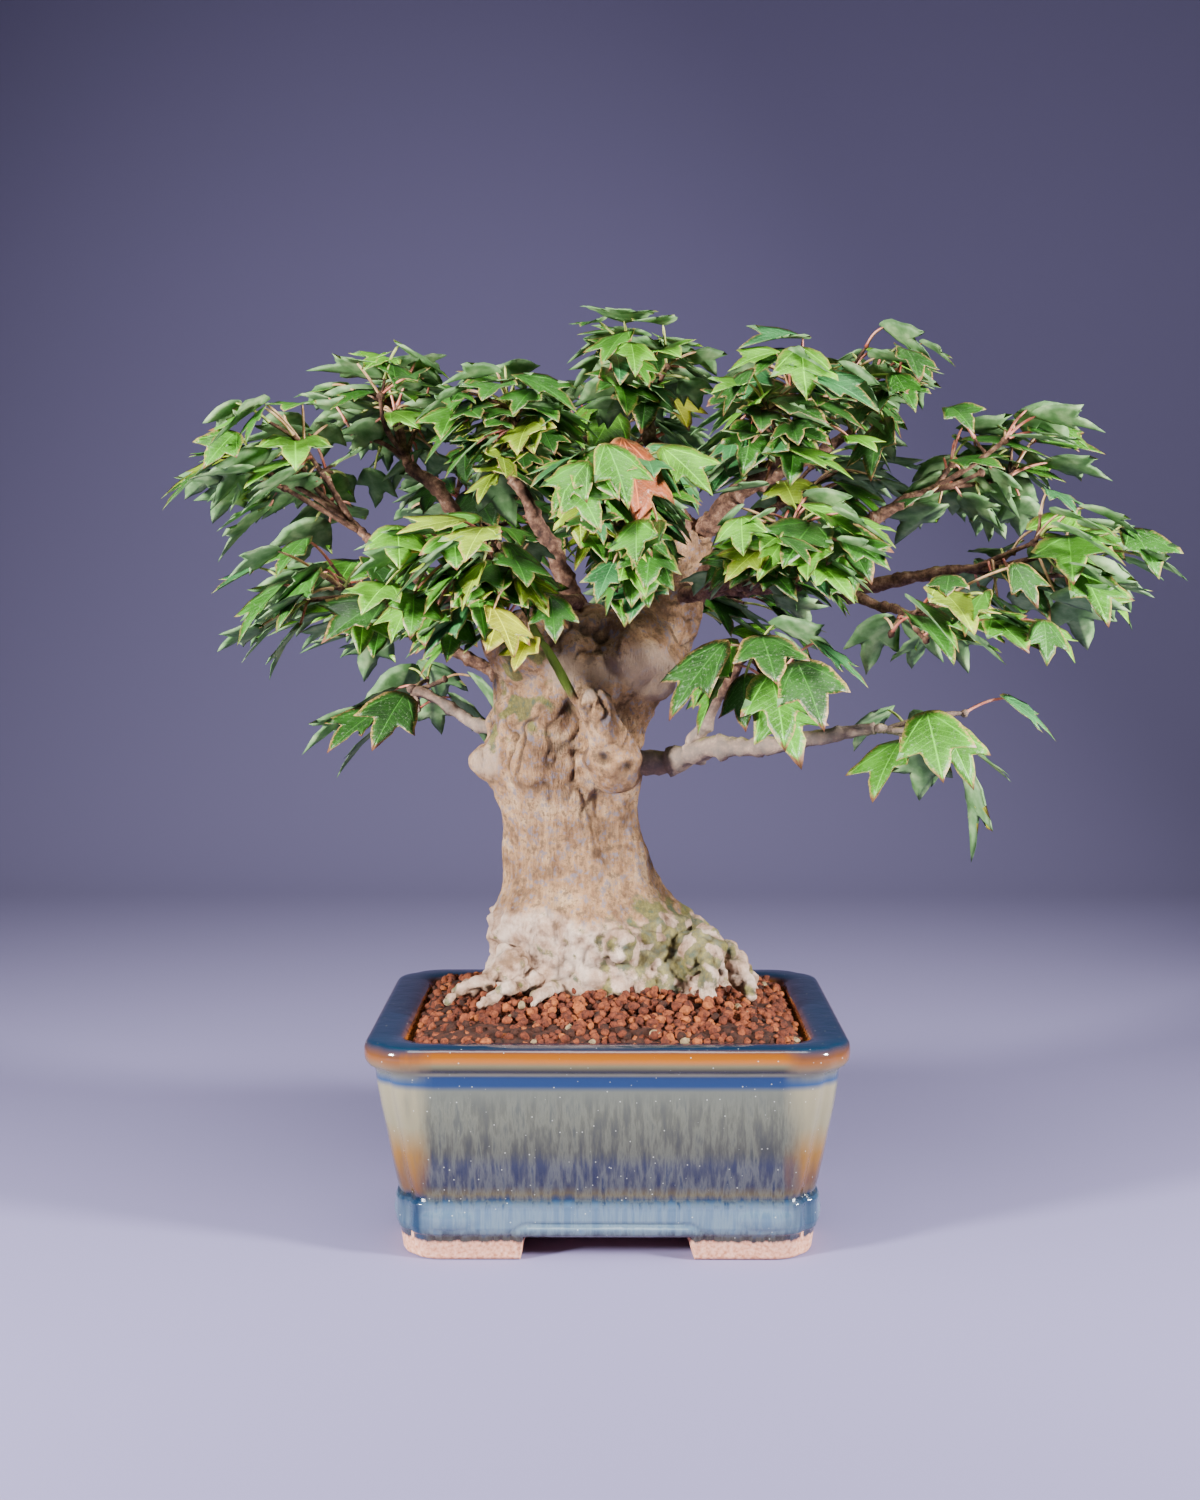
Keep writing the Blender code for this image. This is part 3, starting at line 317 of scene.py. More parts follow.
def pot_shell():
    """One profile carried round the pot: floor, inside, rim, outside, foot and underside.

    Every point lower than the arch over its place is lifted to the arch, which cuts the foot
    ring into four feet. The outer wall is then moved in or out by a slow noise, by a moulding
    that keeps one distance from the arches, and by a low ellipsoid over each foot.
    """
    inner = [rounded_rectangle(row) for row in POT_INSIDE[::-1]]
    heights = np.unique(np.concatenate([POT_OUTSIDE[:, 0], BELT_ROWS]))
    outside = np.column_stack([np.interp(heights, POT_OUTSIDE[:, 0], column) for column in POT_OUTSIDE.T])
    grooves = np.interp(heights, (0, 14, 56, 61.8, 66, 69.2),
                        (0.4, GROOVE_DEPTH, GROOVE_DEPTH, 0.3, DIMPLE_DEPTH, DIMPLE_DEPTH))
    outer = [rounded_rectangle(row, groove) for row, groove in zip(outside[::-1], grooves[::-1])]
    foot = POT_OUTSIDE[0]
    inset = foot - np.array([0, FOOT_WALL, FOOT_WALL, FOOT_WALL - 4.0])
    below = [rounded_rectangle(inset + np.array([z, 0, 0, 0])) for z in (0.0, 4.0, RECESS_HEIGHT)]
    rings = np.array(inner + outer + below)
    x, y = rings[..., 0], rings[..., 1]
    inside_x = np.abs(x) < ARCH_HALF_LONG
    inside_y = np.abs(y) < ARCH_HALF_SHORT
    to_side = np.where(np.abs(y) > 30, ARCH_HALF_LONG - np.abs(x), ARCH_HALF_SHORT - np.abs(y))
    ease = ARCH_EASE - np.sqrt(np.clip(ARCH_EASE**2 - np.clip(ARCH_EASE - to_side, 0, ARCH_EASE)**2, 0, None))
    in_arch = np.where(np.abs(y) > 30, inside_x, inside_y)
    arch = np.where(in_arch, RECESS_HEIGHT - ease, 0.0)
    rings[len(inner):, :, 2] = np.maximum(rings[len(inner):, :, 2], arch[len(inner):])
    sag = noise(rings.reshape(-1, 3), 26.0, 5).reshape(rings.shape[:2]) * GLAZE_SAG
    wall = np.zeros(len(rings))
    wall[len(inner) + 3:len(inner) + len(outer) - 3] = 1.0
    z = rings[..., 2]
    long_side = np.abs(y) > 46.0
    across = np.where(long_side, np.abs(x), np.abs(y))
    beside = np.clip(across - np.where(long_side, *MOULDING_HALVES), 0, None)
    over_arch = np.hypot(beside, np.clip(z - 5, 0, None)) - 3
    moulding = MOULDING_RISE * np.clip((MOULDING_OFFSET - 0.4 - over_arch) / 0.8, 0, 1)
    moulding -= MOULDING_GROOVE * np.exp(-((over_arch - MOULDING_OFFSET) / 0.7)**2)
    lens_at = np.where(long_side, *LENS_PLACES)
    lens_half = np.where(long_side, *LENS_HALVES)
    height, half_height, rise = LENS
    lens = 1 - ((across - lens_at) / lens_half)**2 - ((z - height) / half_height)**2
    lens = rise * np.clip(lens, 0, 1)
    swell = sag + (moulding + lens) * (z < RELIEF_TOP)
    on_short = (np.abs(x) > 60.0) & ~long_side
    rings[..., 0] += (sag * ~on_short + swell * on_short) * wall[:, None] * np.sign(x)
    rings[..., 1] += (sag * ~long_side + swell * long_side) * wall[:, None] * np.sign(y)
    count = rings.shape[1]
    points = np.vstack([rings.reshape(-1, 3), [[0, 0, POT_INSIDE[-1, 0]], [0, 0, RECESS_HEIGHT]]])
    k = np.arange(count)
    after = (k + 1) % count
    last = (len(rings) - 1) * count
    floor = np.stack([np.full(count, len(points) - 2), k, after], axis=1)
    underside = np.stack([np.full(count, len(points) - 1), last + after, last + k], axis=1)
    return points, [loft_faces(len(rings), count)[:, ::-1], floor[:, ::-1], underside[:, ::-1]]


# Glazed stoneware: a thick glossy ash glaze over blue, which broke cream on the corners, ran
# in upright streaks down the sides and pooled blue on the belt. The clay fires pinkish.
# Each colour goes with the share of light that the glaze sends back where its coat is worn to
# an edge, thin or thick.
THINNEST = 0.6
THIN = 0.46
THICK = 0.34
glaze, tree, shader, place = finish_named("run_glazed_stoneware", Roughness=0.12, IOR=1.5,
                                          Coat_Weight=0.2, Coat_Roughness=0.05)
split = add(tree, "SeparateXYZ", {"Vector": place})
narrow = stretched(tree, place, (0.42, 0.42, 0.035))
streaks = add(tree, "TexNoise", {"Vector": narrow, "Scale": 1.0, "Detail": 5.0, "Roughness": 0.62})
wide = stretched(tree, place, (0.16, 0.16, 0.022))
runs = add(tree, "TexNoise", {"Vector": wide, "Scale": 1.0, "Detail": 3.0, "Roughness": 0.5})
wander = add(tree, "Math", {0: streaks.outputs["Fac"], 1: 4.0, 2: -2.0}, operation="MULTIPLY_ADD")
body = add(tree, "MapRange", {"Value": split.outputs["Z"], "From Min": 56.0, "From Max": 50.0})
wander = add(tree, "Math", {0: wander.outputs[0], 1: body.outputs[0]}, operation="MULTIPLY")
level = add(tree, "Math", {0: split.outputs["Z"], 1: wander.outputs[0]}, operation="ADD")
share = add(tree, "Math", {0: level.outputs[0], 1: 70.0}, operation="DIVIDE")
zones = add(tree, "ValToRGB", {"Fac": share.outputs[0]}, stops=(
    (0.11, colour("4b3c20", THICK)), (0.15, colour("7391ac", THIN)), (0.25, colour("6f90b0", THIN)),
    (0.28, colour("1b4470", THICK)), (0.31, colour("6f5f34", THICK)), (0.35, colour("262b4c", THICK)),
    (0.44, colour("3c415c", THICK)), (0.51, colour("55564a", THICK)), (0.68, colour("6a6c5c", THIN)),
    (0.79, colour("74786c", THIN)), (0.815, colour("1d4882", THICK)), (0.855, colour("1d4882", THICK)),
    (0.868, colour("a09c80", THIN)), (0.885, colour("24242c", THICK)), (0.915, colour("857d5a", THIN)),
    (0.935, colour("b0661a", THINNEST)), (0.965, colour("a05a16", THIN)), (0.985, colour("143c5c", THICK))))
dark_runs = add(tree, "ValToRGB", {"Fac": streaks.outputs["Fac"]}, stops=(
    (0.36, colour("1c2a4a", THICK)), (0.46, colour("5f6058", THIN)), (0.56, colour("8a8c7c", THINNEST)),
    (0.68, colour("3c4a5c", THICK))))
streaking = add(tree, "Math", {0: body.outputs[0], 1: 0.26}, operation="MULTIPLY")
streaked = add(tree, "MixRGB", {"Fac": streaking.outputs[0], "Color1": zones.outputs["Color"],
                                "Color2": dark_runs.outputs["Color"]})
across = add(tree, "Math", {0: split.outputs["X"]}, operation="ABSOLUTE")
depth = add(tree, "Math", {0: split.outputs["Y"]}, operation="ABSOLUTE")
corner_x = add(tree, "MapRange", {"Value": across.outputs[0], "From Min": 50.0, "From Max": 66.0})
corner_y = add(tree, "MapRange", {"Value": depth.outputs[0], "From Min": 38.0, "From Max": 50.0})
corner = add(tree, "Math", {0: corner_x.outputs[0], 1: corner_y.outputs[0]}, operation="MULTIPLY")
corner = add(tree, "Math", {0: corner.outputs[0], 1: runs.outputs["Fac"]}, operation="MULTIPLY")
corner = add(tree, "MapRange", {"Value": corner.outputs[0], "From Min": 0.10, "From Max": 0.32})
corner_shades = add(tree, "ValToRGB", {"Fac": share.outputs[0]}, stops=(
    (0.12, colour("1d4f72", THICK)), (0.28, colour("143a60", THICK)), (0.32, colour("7a4c1c", THIN)),
    (0.48, colour("a0701f", THIN)), (0.62, colour("a39a78", THIN)), (0.79, colour("b0a684", THIN)),
    (0.82, colour("2a5488", THIN)), (0.87, colour("8f8c70", THIN)), (0.93, colour("9a5a18", THIN)),
    (0.985, colour("1b4466", THICK))))
edged = add(tree, "MixRGB", {"Fac": corner.outputs[0], "Color1": streaked.outputs["Color"],
                             "Color2": corner_shades.outputs["Color"]})
specks = add(tree, "TexVoronoi", {"Vector": place, "Scale": 0.36}, feature="F1")
pinhole = add(tree, "MapRange", {"Value": specks.outputs["Distance"], "From Min": 0.04, "From Max": 0.09,
                                 "To Min": 0.45, "To Max": 0.0})
speckled = add(tree, "MixRGB", {"Fac": pinhole.outputs[0], "Color1": edged.outputs["Color"],
                                "Color2": colour("d8d9d0")})
grain = add(tree, "TexNoise", {"Vector": place, "Scale": 0.9, "Detail": 4.0})
clay = add(tree, "ValToRGB", {"Fac": grain.outputs["Fac"]}, stops=(
    (0.3, colour("b0714e")), (0.5, colour("d9997a")), (0.7, colour("e8b498"))))
rough_edge = add(tree, "Math", {0: streaks.outputs["Fac"], 1: 3.0}, operation="MULTIPLY")
foot_level = add(tree, "Math", {0: split.outputs["Z"], 1: rough_edge.outputs[0]}, operation="ADD")
bare_foot = add(tree, "MapRange", {"Value": foot_level.outputs[0], "From Min": 7.4, "From Max": 8.2,
                                   "To Min": 1.0, "To Max": 0.0})
inner_x = add(tree, "Math", {0: across.outputs[0], 1: 61.0}, operation="LESS_THAN")
inner_y = add(tree, "Math", {0: depth.outputs[0], 1: 46.6}, operation="LESS_THAN")
low = add(tree, "Math", {0: split.outputs["Z"], 1: 9.5}, operation="LESS_THAN")
inner = add(tree, "Math", {0: inner_x.outputs[0], 1: inner_y.outputs[0]}, operation="MULTIPLY")
under = add(tree, "Math", {0: inner.outputs[0], 1: low.outputs[0]}, operation="MULTIPLY")
bare = add(tree, "Math", {0: bare_foot.outputs[0], 1: under.outputs[0]}, operation="MAXIMUM")
skin = add(tree, "MixRGB", {"Fac": bare.outputs[0], "Color1": speckled.outputs["Color"],
                            "Color2": clay.outputs["Color"]})
tree.links.new(skin.outputs["Color"], shader.inputs["Base Color"])
dullness = add(tree, "MapRange", {"Value": bare.outputs[0], "To Min": 0.10, "To Max": 0.85})
tree.links.new(dullness.outputs[0], shader.inputs["Roughness"])
ripple = add(tree, "TexNoise", {"Vector": place, "Scale": 0.11, "Detail": 3.0})
bump = add(tree, "Bump", {"Height": ripple.outputs["Fac"], "Strength": 0.25, "Distance": 0.0012})
fine = add(tree, "Bump", {"Height": streaks.outputs["Fac"], "Strength": 0.12, "Distance": 0.0004,
                          "Normal": bump.outputs["Normal"]})
tree.links.new(fine.outputs["Normal"], shader.inputs["Normal"])

# The two drain holes that the CAD has in its floor are left out of this mesh.
pot = piece_from("glazed_pot", *pot_shell(), [glaze])
pot.data.shade_smooth()
pot.data.set_sharp_from_angle(angle=math.radians(50))
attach(pot, "root")
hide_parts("pot")

# Soil: fired clay granules, screened to about 3 to 4 mm, heaped round the foot of the trunk
# over a bed of the same, with a few pale grains among them.
SOIL_BED = np.array([
    (14.3, 57.7, 43.3, 6.7), (40.0, 59.6, 45.2, 7.5), (65.0, 61.6, 47.2, 8.1),
    (66.4, 60.8, 46.4, 8.1), (67.8, 58.8, 44.6, 9.0), (69.4, 56.4, 42.2, 9.4),
    (70.6, 52.5, 38.8, 10.0), (71.4, 44.0, 31.0, 10.0), (71.9, 30.0, 19.0, 8.0)])
GRANULE_PITCH = 2.55
GRANULE_SIZES = (2.5, 3.9)
STREWN = 900                    # granules that lie loose on top


def soil_bed():
    """The bed that the granules lie on: rings that rise to a low mound, roughened by noise."""
    rings = np.array([rounded_rectangle(row) for row in SOIL_BED])
    bumps = noise(rings.reshape(-1, 3), 4.0, 11).reshape(rings.shape[:2]) * 0.5
    rings[3:, :, 2] += bumps[3:]
    points = np.vstack([rings.reshape(-1, 3), [[0, 0, SOIL_BED[0, 0]], [0, 0, SOIL_BED[-1, 0]]]])
    return points, closed_loft(len(rings), rings.shape[1])


def ball(columns, rows):
    """A unit ball as a grid of columns and rows with a pole at each end."""
    turn = np.arange(columns) * 2 * math.pi / columns
    rise = np.linspace(-math.pi / 2, math.pi / 2, rows + 2)[1:-1]
    ring = np.stack([np.outer(np.cos(rise), np.cos(turn)), np.outer(np.cos(rise), np.sin(turn)),
                     np.outer(np.sin(rise), np.ones(columns))], axis=2).reshape(-1, 3)
    points = np.vstack([ring, [[0, 0, -1], [0, 0, 1]]])
    return points, closed_loft(rows, columns)


def repeated(shape, turns, sizes, places, lumps=0.0, seed=0):
    """Copies of a shape: each scaled, turned by its own matrix, roughened and put in its place."""
    points, faces = shape
    grown = points[None] * sizes[:, None, :]
    if lumps:
        rng = np.random.default_rng(seed)
        grown = grown * (1 + lumps * rng.uniform(-1, 1, grown.shape[:2])[..., None])
    laid = np.einsum("nij,nkj->nki", turns, grown) + places[:, None, :]
    steps = (np.arange(len(places)) * len(points))[:, None, None]
    return laid.reshape(-1, 3), [(part[None] + steps).reshape(-1, part.shape[1]) for part in faces]


def random_turns(rng, count):
    """Rotation matrices from random unit quaternions."""
    q = rng.normal(size=(count, 4))
    w, x, y, z = (q / np.linalg.norm(q, axis=1)[:, None]).T
    return np.stack([
        np.stack([1 - 2 * (y * y + z * z), 2 * (x * y - z * w), 2 * (x * z + y * w)], axis=1),
        np.stack([2 * (x * y + z * w), 1 - 2 * (x * x + z * z), 2 * (y * z - x * w)], axis=1),
        np.stack([2 * (x * z - y * w), 2 * (y * z + x * w), 1 - 2 * (x * x + y * y)], axis=1)], axis=1)


def soil_height(x, y):
    """Height of the heap: low along the pot's wall, rising to the mound under the tree."""
    edge = np.maximum(np.abs(x) / 61.0, np.abs(y) / 46.6)
    heap = 65.4 + 8.2 * np.clip(1.08 - edge, 0, 0.55) / 0.55
    near_trunk = np.exp(-(((x - 2) / 36)**2 + ((y - 8) / 26)**2)**2)
    return heap + 2.2 * near_trunk


def granule_places():
    """Places on a jittered grid of staggered rows, laid on the heap, and some strewn on top."""
    rng = np.random.default_rng(21)
    rows, columns = np.mgrid[-21:22, -25:26]
    x = ((columns + 0.5 * (rows % 2)) * GRANULE_PITCH).ravel()
    y = (rows * GRANULE_PITCH * 0.87).ravel()
    lift = rng.uniform(-1.2, 0.5, len(x))
    strewn = rng.random((2, STREWN)) * np.array([[116.0], [90.0]]) - np.array([[58.0], [45.0]])
    x = np.concatenate([x + rng.uniform(-0.7, 0.7, len(x)), strewn[0]])
    y = np.concatenate([y + rng.uniform(-0.7, 0.7, len(y)), strewn[1]])
    lift = np.concatenate([lift, rng.uniform(0.8, 1.9, STREWN)])
    corner = np.hypot(np.clip(np.abs(x) - 52.5, 0, None), np.clip(np.abs(y) - 38.0, 0, None))
    keep = (np.abs(x) < 60.3) & (np.abs(y) < 46.0) & (corner < 8.0)
    x, y, lift = x[keep], y[keep], lift[keep]
    return np.column_stack([x, y, soil_height(x, y) + lift]), rng


granule_at, rng = granule_places()
granule_size = rng.uniform(*GRANULE_SIZES, len(granule_at)) / 2
granule_shape = granule_size[:, None] * rng.uniform(0.72, 1.18, (len(granule_at), 3))
granule_points, granule_faces = repeated(ball(7, 3), random_turns(rng, len(granule_at)), granule_shape,
                                         granule_at, 0.17, 22)


# Fired clay granule: a porous red-brown earthenware grain, damp and matt.
def clay_grain(name, dark, light):
    """A granule's finish between a dark and a light shade."""
    made, tree, shader, place = finish_named(name, Roughness=0.9, Specular_IOR_Level=0.3)
    mottle = add(tree, "TexNoise", {"Vector": place, "Scale": 0.7, "Detail": 5.0,
                                    "Roughness": 0.7})
    shades = add(tree, "ValToRGB", {"Fac": mottle.outputs["Fac"]}, stops=(
        (0.36, colour(dark)), (0.62, colour(light))))
    tree.links.new(shades.outputs["Color"], shader.inputs["Base Color"])
    pores = add(tree, "TexNoise", {"Vector": place, "Scale": 2.2, "Detail": 3.0})
    bump = add(tree, "Bump", {"Height": pores.outputs["Fac"], "Strength": 0.8, "Distance": 0.0004})
    tree.links.new(bump.outputs["Normal"], shader.inputs["Normal"])
    return made


GRAINS = (
    clay_grain("damp_red_clay_grain", "2c110a", "662f1a"),
    clay_grain("red_clay_grain", "431c10", "7f4022"),
    clay_grain("orange_clay_grain", "5f2c14", "9a552b"),
    clay_grain("dark_clay_grain", "1c0c07", "3d1d10"),
    clay_grain("pale_pumice_grain", "66543c", "96815f"),
)
deal = rng.choice(len(GRAINS), len(granule_at), p=(0.40, 0.36, 0.11, 0.12, 0.01))
grain_slots = np.concatenate([np.repeat(deal, len(part) // len(granule_at)) for part in granule_faces])
granules = piece_from("clay_granules", granule_points, granule_faces, GRAINS, grain_slots)
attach(granules, "root")
bed = piece_from("soil_bed", *soil_bed(), [GRAINS[3]])
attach(bed, "root")
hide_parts("soil")

# Trunk: old maple wood, short and stout, thickened by years of cutting back. It flares into
# surface roots, and carries healed cuts, a burl, a dead stub and a green shoot.
# Each row is height, left and right edge, front and back edge.
TRUNK_ROWS = np.array([
    (70.0, -39.0, 49.0, -14.0, 41.0), (81.0, -37.5, 40.0, -13.0, 38.0),
    (88.0, -38.0, 36.0, -12.0, 37.0), (95.0, -39.0, 31.0, -11.5, 36.0),
    (101.0, -37.5, 25.0, -9.5, 35.0), (108.0, -35.0, 19.0, -7.0, 34.0),
    (116.0, -34.5, 15.0, -6.0, 33.0), (129.0, -34.8, 11.6, -6.5, 32.0),
    (137.0, -37.5, 10.8, -7.0, 32.0), (148.0, -41.0, 11.2, -8.0, 33.0),
    (160.0, -39.7, 13.7, -8.0, 34.0), (173.0, -38.0, 20.0, -8.5, 36.0),
    (185.0, -38.2, 22.6, -8.0, 37.0), (193.0, -37.0, 21.0, -5.0, 35.0),
    (199.0, -30.0, 16.0, 0.0, 30.0), (202.0, -18.0, 6.0, 7.0, 22.0)])
FLARE_TOP = 98.0
KNOBS = np.array([
    (2.0, -9.0, 152.0, 10.0), (-39.0, 12.0, 149.0, 7.0), (-23.0, 8.0, 186.0, 16.0),
    (8.0, 8.0, 184.0, 16.5), (3.5, -12.0, 92.0, 5.5), (-32.0, -6.0, 84.0, 6.0), (30.0, -4.0, 88.0, 8.0)])
# Foot, tip and the two radii of what grows out of the trunk.
LEADER = ((12.0, 22.0, 184.0), (27.0, 19.0, 226.0), 16.0, 9.0)
CUT_STUB = ((2.0, -12.0, 155.0), (-5.5, -19.0, 173.0), 7.5, 4.6)
CORNER_STUB = ((-33.0, 8.0, 184.0), (-43.0, 4.0, 193.0), 5.5, 3.2)
GREEN_SHOOT = ((-8.0, -12.0, 166.0), (-27.0, -20.0, 203.0), 1.9, 1.4)
FUSED_LIMBS = (LEADER, CUT_STUB, CORNER_STUB, GREEN_SHOOT)
ROOTS = (
    ((-30.0, -2.0, 82.0), (-52.0, -19.0, 74.2), 4.2, 1.4),
    ((-24.0, -6.0, 78.0), (-41.0, -25.0, 74.0), 3.2, 1.2),
    ((-16.0, -8.0, 78.0), (-24.0, -25.0, 74.0), 3.0, 1.3),
    ((33.0, -3.0, 92.0), (32.0, -20.0, 73.5), 3.6, 2.0),
    ((39.0, 2.0, 88.0), (47.0, -10.0, 73.5), 3.8, 2.0),
    ((40.0, 16.0, 84.0), (51.0, 18.0, 74.0), 4.0, 1.8),
    ((20.0, 34.0, 82.0), (32.0, 38.0, 74.0), 4.0, 1.8),
    ((-25.0, 30.0, 82.0), (-42.0, 35.0, 74.0), 4.2, 1.8),
)
BARK_VOXEL = 0.75


def smooth_rows(table, count):
    """Reads a table of sections at even heights, on cubic curves through its rows."""
    heights = np.linspace(table[0, 0], table[-1, 0], count)
    slopes = np.gradient(table, table[:, 0], axis=0)
    after = np.clip(np.searchsorted(table[:, 0], heights, side="right"), 1, len(table) - 1)
    before = after - 1
    span = (table[after, 0] - table[before, 0])[:, None]
    t = (heights[:, None] - table[before, 0][:, None]) / span
    return (table[before] * (2 * t**3 - 3 * t**2 + 1) + slopes[before] * span * (t**3 - 2 * t**2 + t)
            + table[after] * (3 * t**2 - 2 * t**3) + slopes[after] * span * (t**3 - t**2))


TRUNK_RINGS = 90
TRUNK_SIDES = 120


def trunk_wall():
    """A fluted oval at each height, with roots swelling out below the flare's top."""
    rows = smooth_rows(TRUNK_ROWS, TRUNK_RINGS)
    angle = np.linspace(0, 2 * math.pi, TRUNK_SIDES, endpoint=False)[None]
    height, left, right, front, back = (rows[:, k, None] for k in range(5))
    flutes = np.sin(5 * angle + 0.03 * height) + 0.7 * np.sin(8 * angle - 0.05 * height)
    flare = np.clip((FLARE_TOP - height) / (FLARE_TOP - 70.0), 0, None)
    swell = 1 + 0.035 * flutes + 0.09 * flare * np.sin(6 * angle + 0.9)
    x = (left + right) / 2 + (right - left) / 2 * swell * np.cos(angle)
    y = (front + back) / 2 + (back - front) / 2 * swell * np.sin(angle)
    points = np.stack([x, y, np.broadcast_to(height, x.shape)], axis=2).reshape(-1, 3)
    ends = np.array([[(rows[k, 1] + rows[k, 2]) / 2, (rows[k, 3] + rows[k, 4]) / 2, rows[k, 0]]
                     for k in (0, -1)])
    return np.vstack([points, ends]), closed_loft(TRUNK_RINGS, TRUNK_SIDES)


def limb_points(foot, tip, bow, wander, seed, count):
    """Points of a limb from foot to tip, with a bow up or down and a seeded wander."""
    rng = random.Random(seed)
    foot, tip = Vector(foot), Vector(tip)
    across = (tip - foot).cross(Vector((0, 0, 1))).normalized()
    size = wander * (tip - foot).length
    points = []
    for k in range(count):
        t = k / (count - 1)
        point = foot.lerp(tip, t)
        point.z += bow * 4 * t * (1 - t)
        if 0 < k < count - 1:
            point += across * rng.uniform(-size, size)
            point.z += rng.uniform(-size, size) * 0.6
        points.append(point)
    return points


def finer(path, count):
    """A path of few points read at many, on cubic curves through them."""
    rows = np.column_stack([np.arange(len(path), dtype=float), np.array(path)])
    return smooth_rows(rows, count)[:, 1:]


def tubes(paths, radii, sides, twist=0.0):
    """Round tubes: circles across each of a stack of paths (n, rings, 3), with a pole at each end."""
    n, rings = radii.shape
    along = np.gradient(paths, axis=1)
    along /= np.linalg.norm(along, axis=2)[..., None]
    run = paths[:, -1] - paths[:, 0]
    axis = np.eye(3)[np.argmin(np.abs(run), axis=1)][:, None]
    side = np.cross(along, axis)
    side /= np.linalg.norm(side, axis=2)[..., None]
    other = np.cross(along, side)
    angle = np.arange(sides) * 2 * math.pi / sides + twist
    circle = (side[:, :, None] * np.cos(angle)[:, None] + other[:, :, None] * np.sin(angle)[:, None])
    walls = paths[:, :, None] + circle * radii[:, :, None, None]
    tips = np.stack([paths[:, 0] - along[:, 0] * radii[:, :1] * 0.3,
                     paths[:, -1] + along[:, -1] * radii[:, -1:] * 0.5], axis=1)
    points = np.concatenate([walls.reshape(n, -1, 3), tips], axis=1)
    steps = (np.arange(n) * points.shape[1])[:, None, None]
    faces = [(part[None] + steps).reshape(-1, part.shape[1]) for part in closed_loft(rings, sides)]
    return points.reshape(-1, 3), faces


def joined(shapes):
    """Several shapes as one set of points and faces."""
    points = np.vstack([shape[0] for shape in shapes])
    starts = np.cumsum([0] + [len(shape[0]) for shape in shapes[:-1]])
    return points, [part + start for shape, start in zip(shapes, starts) for part in shape[1]]


def trunk_core():
    """The trunk's wall with its knobs, fused limbs and roots, before they are grown together."""
    turns = np.repeat(np.eye(3)[None], len(KNOBS), axis=0)
    shapes = [trunk_wall(), repeated(ball(28, 15), turns, np.repeat(KNOBS[:, 3:], 3, axis=1), KNOBS[:, :3])]
    rings = 24
    for number, (foot, tip, foot_radius, tip_radius) in enumerate(FUSED_LIMBS):
        path = finer(limb_points(foot, tip, 0.0, 0.03, number, 5), rings)[None]
        shapes.append(tubes(path, np.linspace(foot_radius, tip_radius, rings)[None], 24))
    for number, (foot, tip, foot_radius, tip_radius) in enumerate(ROOTS):
        path = finer(limb_points(foot, tip, 1.5, 0.05, 40 + number, 5), rings)[None]
        shapes.append(tubes(path, np.linspace(foot_radius, tip_radius, rings)[None], 20))
    return joined(shapes)


def grown_together(name, shape, voxel):
    """Fuses overlapping shapes into one skin by remeshing them on a fine grid."""
    mesh = mesh_from(name, *shape)
    carrier = bpy.data.objects.new(name, mesh)
    bpy.context.scene.collection.objects.link(carrier)
    step = carrier.modifiers.new("skin", "REMESH")
    step.mode = "VOXEL"
    step.voxel_size = voxel * MM
    ease = carrier.modifiers.new("ease", "SMOOTH")
    ease.factor = 0.5
    ease.iterations = 3
    bpy.context.view_layer.update()
    evaluated = carrier.evaluated_get(bpy.context.evaluated_depsgraph_get())
    skin = bpy.data.meshes.new_from_object(evaluated)
    bpy.data.objects.remove(carrier, do_unlink=True)
    return skin


def read_points(mesh):
    """A mesh's points in millimetres about the middle of the pot, and its normals."""
    points = np.empty(len(mesh.vertices) * 3, np.float32)
    normals = np.empty(len(mesh.vertices) * 3, np.float32)
    mesh.vertices.foreach_get("co", points)
    mesh.vertices.foreach_get("normal", normals)
    return (points.reshape(-1, 3).astype(float) - POT_AT) / MM, normals.reshape(-1, 3).astype(float)


def near(points, spots):
    """1 at each spot and falling off smoothly round it, by a bell curve at its radii."""
    return sum(np.exp(-(((points - place) / radii)**2).sum(axis=1)) for place, radii in spots)


def creased(points, size, seed, width):
    """1 along winding lines where the noise crosses zero, down to 0 this far off."""
    return np.clip(1 - np.abs(noise(points, size, seed)) / width, 0, 1)


# What stands out of the bark or is sunk in it, each a place and a radius or three radii: pale
# lobes where old cuts have healed over, the burl, the dimples in it, and hollows. The dimples
# and hollows are sunk into the bark, and painted shade darkens them too.
HEALED_LOBES = (((-14.7, -11.0, 181.7), 7.0), ((-1.5, -11.0, 180.4), 6.0), ((12.1, -9.0, 182.6), 7.5),
                ((-39.8, 4.0, 150.3), 6.0), ((19.0, -4.0, 176.0), 9.0), ((6.0, -12.0, 92.0), 5.0),
                ((-5.9, -20.5, 174.8), 3.4))
BURL = (((1.5, -17.5, 153.5), 8.0),)
DIMPLES = (((-1.1, -18.5, 153.7), 1.9), ((5.9, -17.5, 150.8), 1.8))
HOLLOWS = (((-12.1, -9.0, 171.3), (3.0, 5.0, 7.0)), ((24.0, -8.0, 158.0), (6.0, 6.0, 4.0)),
           ((-30.0, -6.0, 170.0), (5.0, 5.0, 9.0)), ((8.0, -8.0, 168.0), (5.0, 5.0, 5.0)))
MOSS_LEFT = ((-30.0, -6.0, 172.0), (14.0, 20.0, 20.0))
MOSS_RIGHT = ((22.0, -8.0, 92.0), (18.0, 24.0, 12.0))
COLLAR_TOP = 101.5
GNARLED_FROM = 132.0            # the bark is rough above this height
SHOOT_FOOT = np.array((-11.0, -13.5, 172.0))    # where the green shoot leaves the bark
bark_skin = grown_together("trunk_skin", trunk_core(), BARK_VOXEL)
at, out = read_points(bark_skin)
height = at[:, 2]
upright = at * (1.0, 1.0, 0.14)
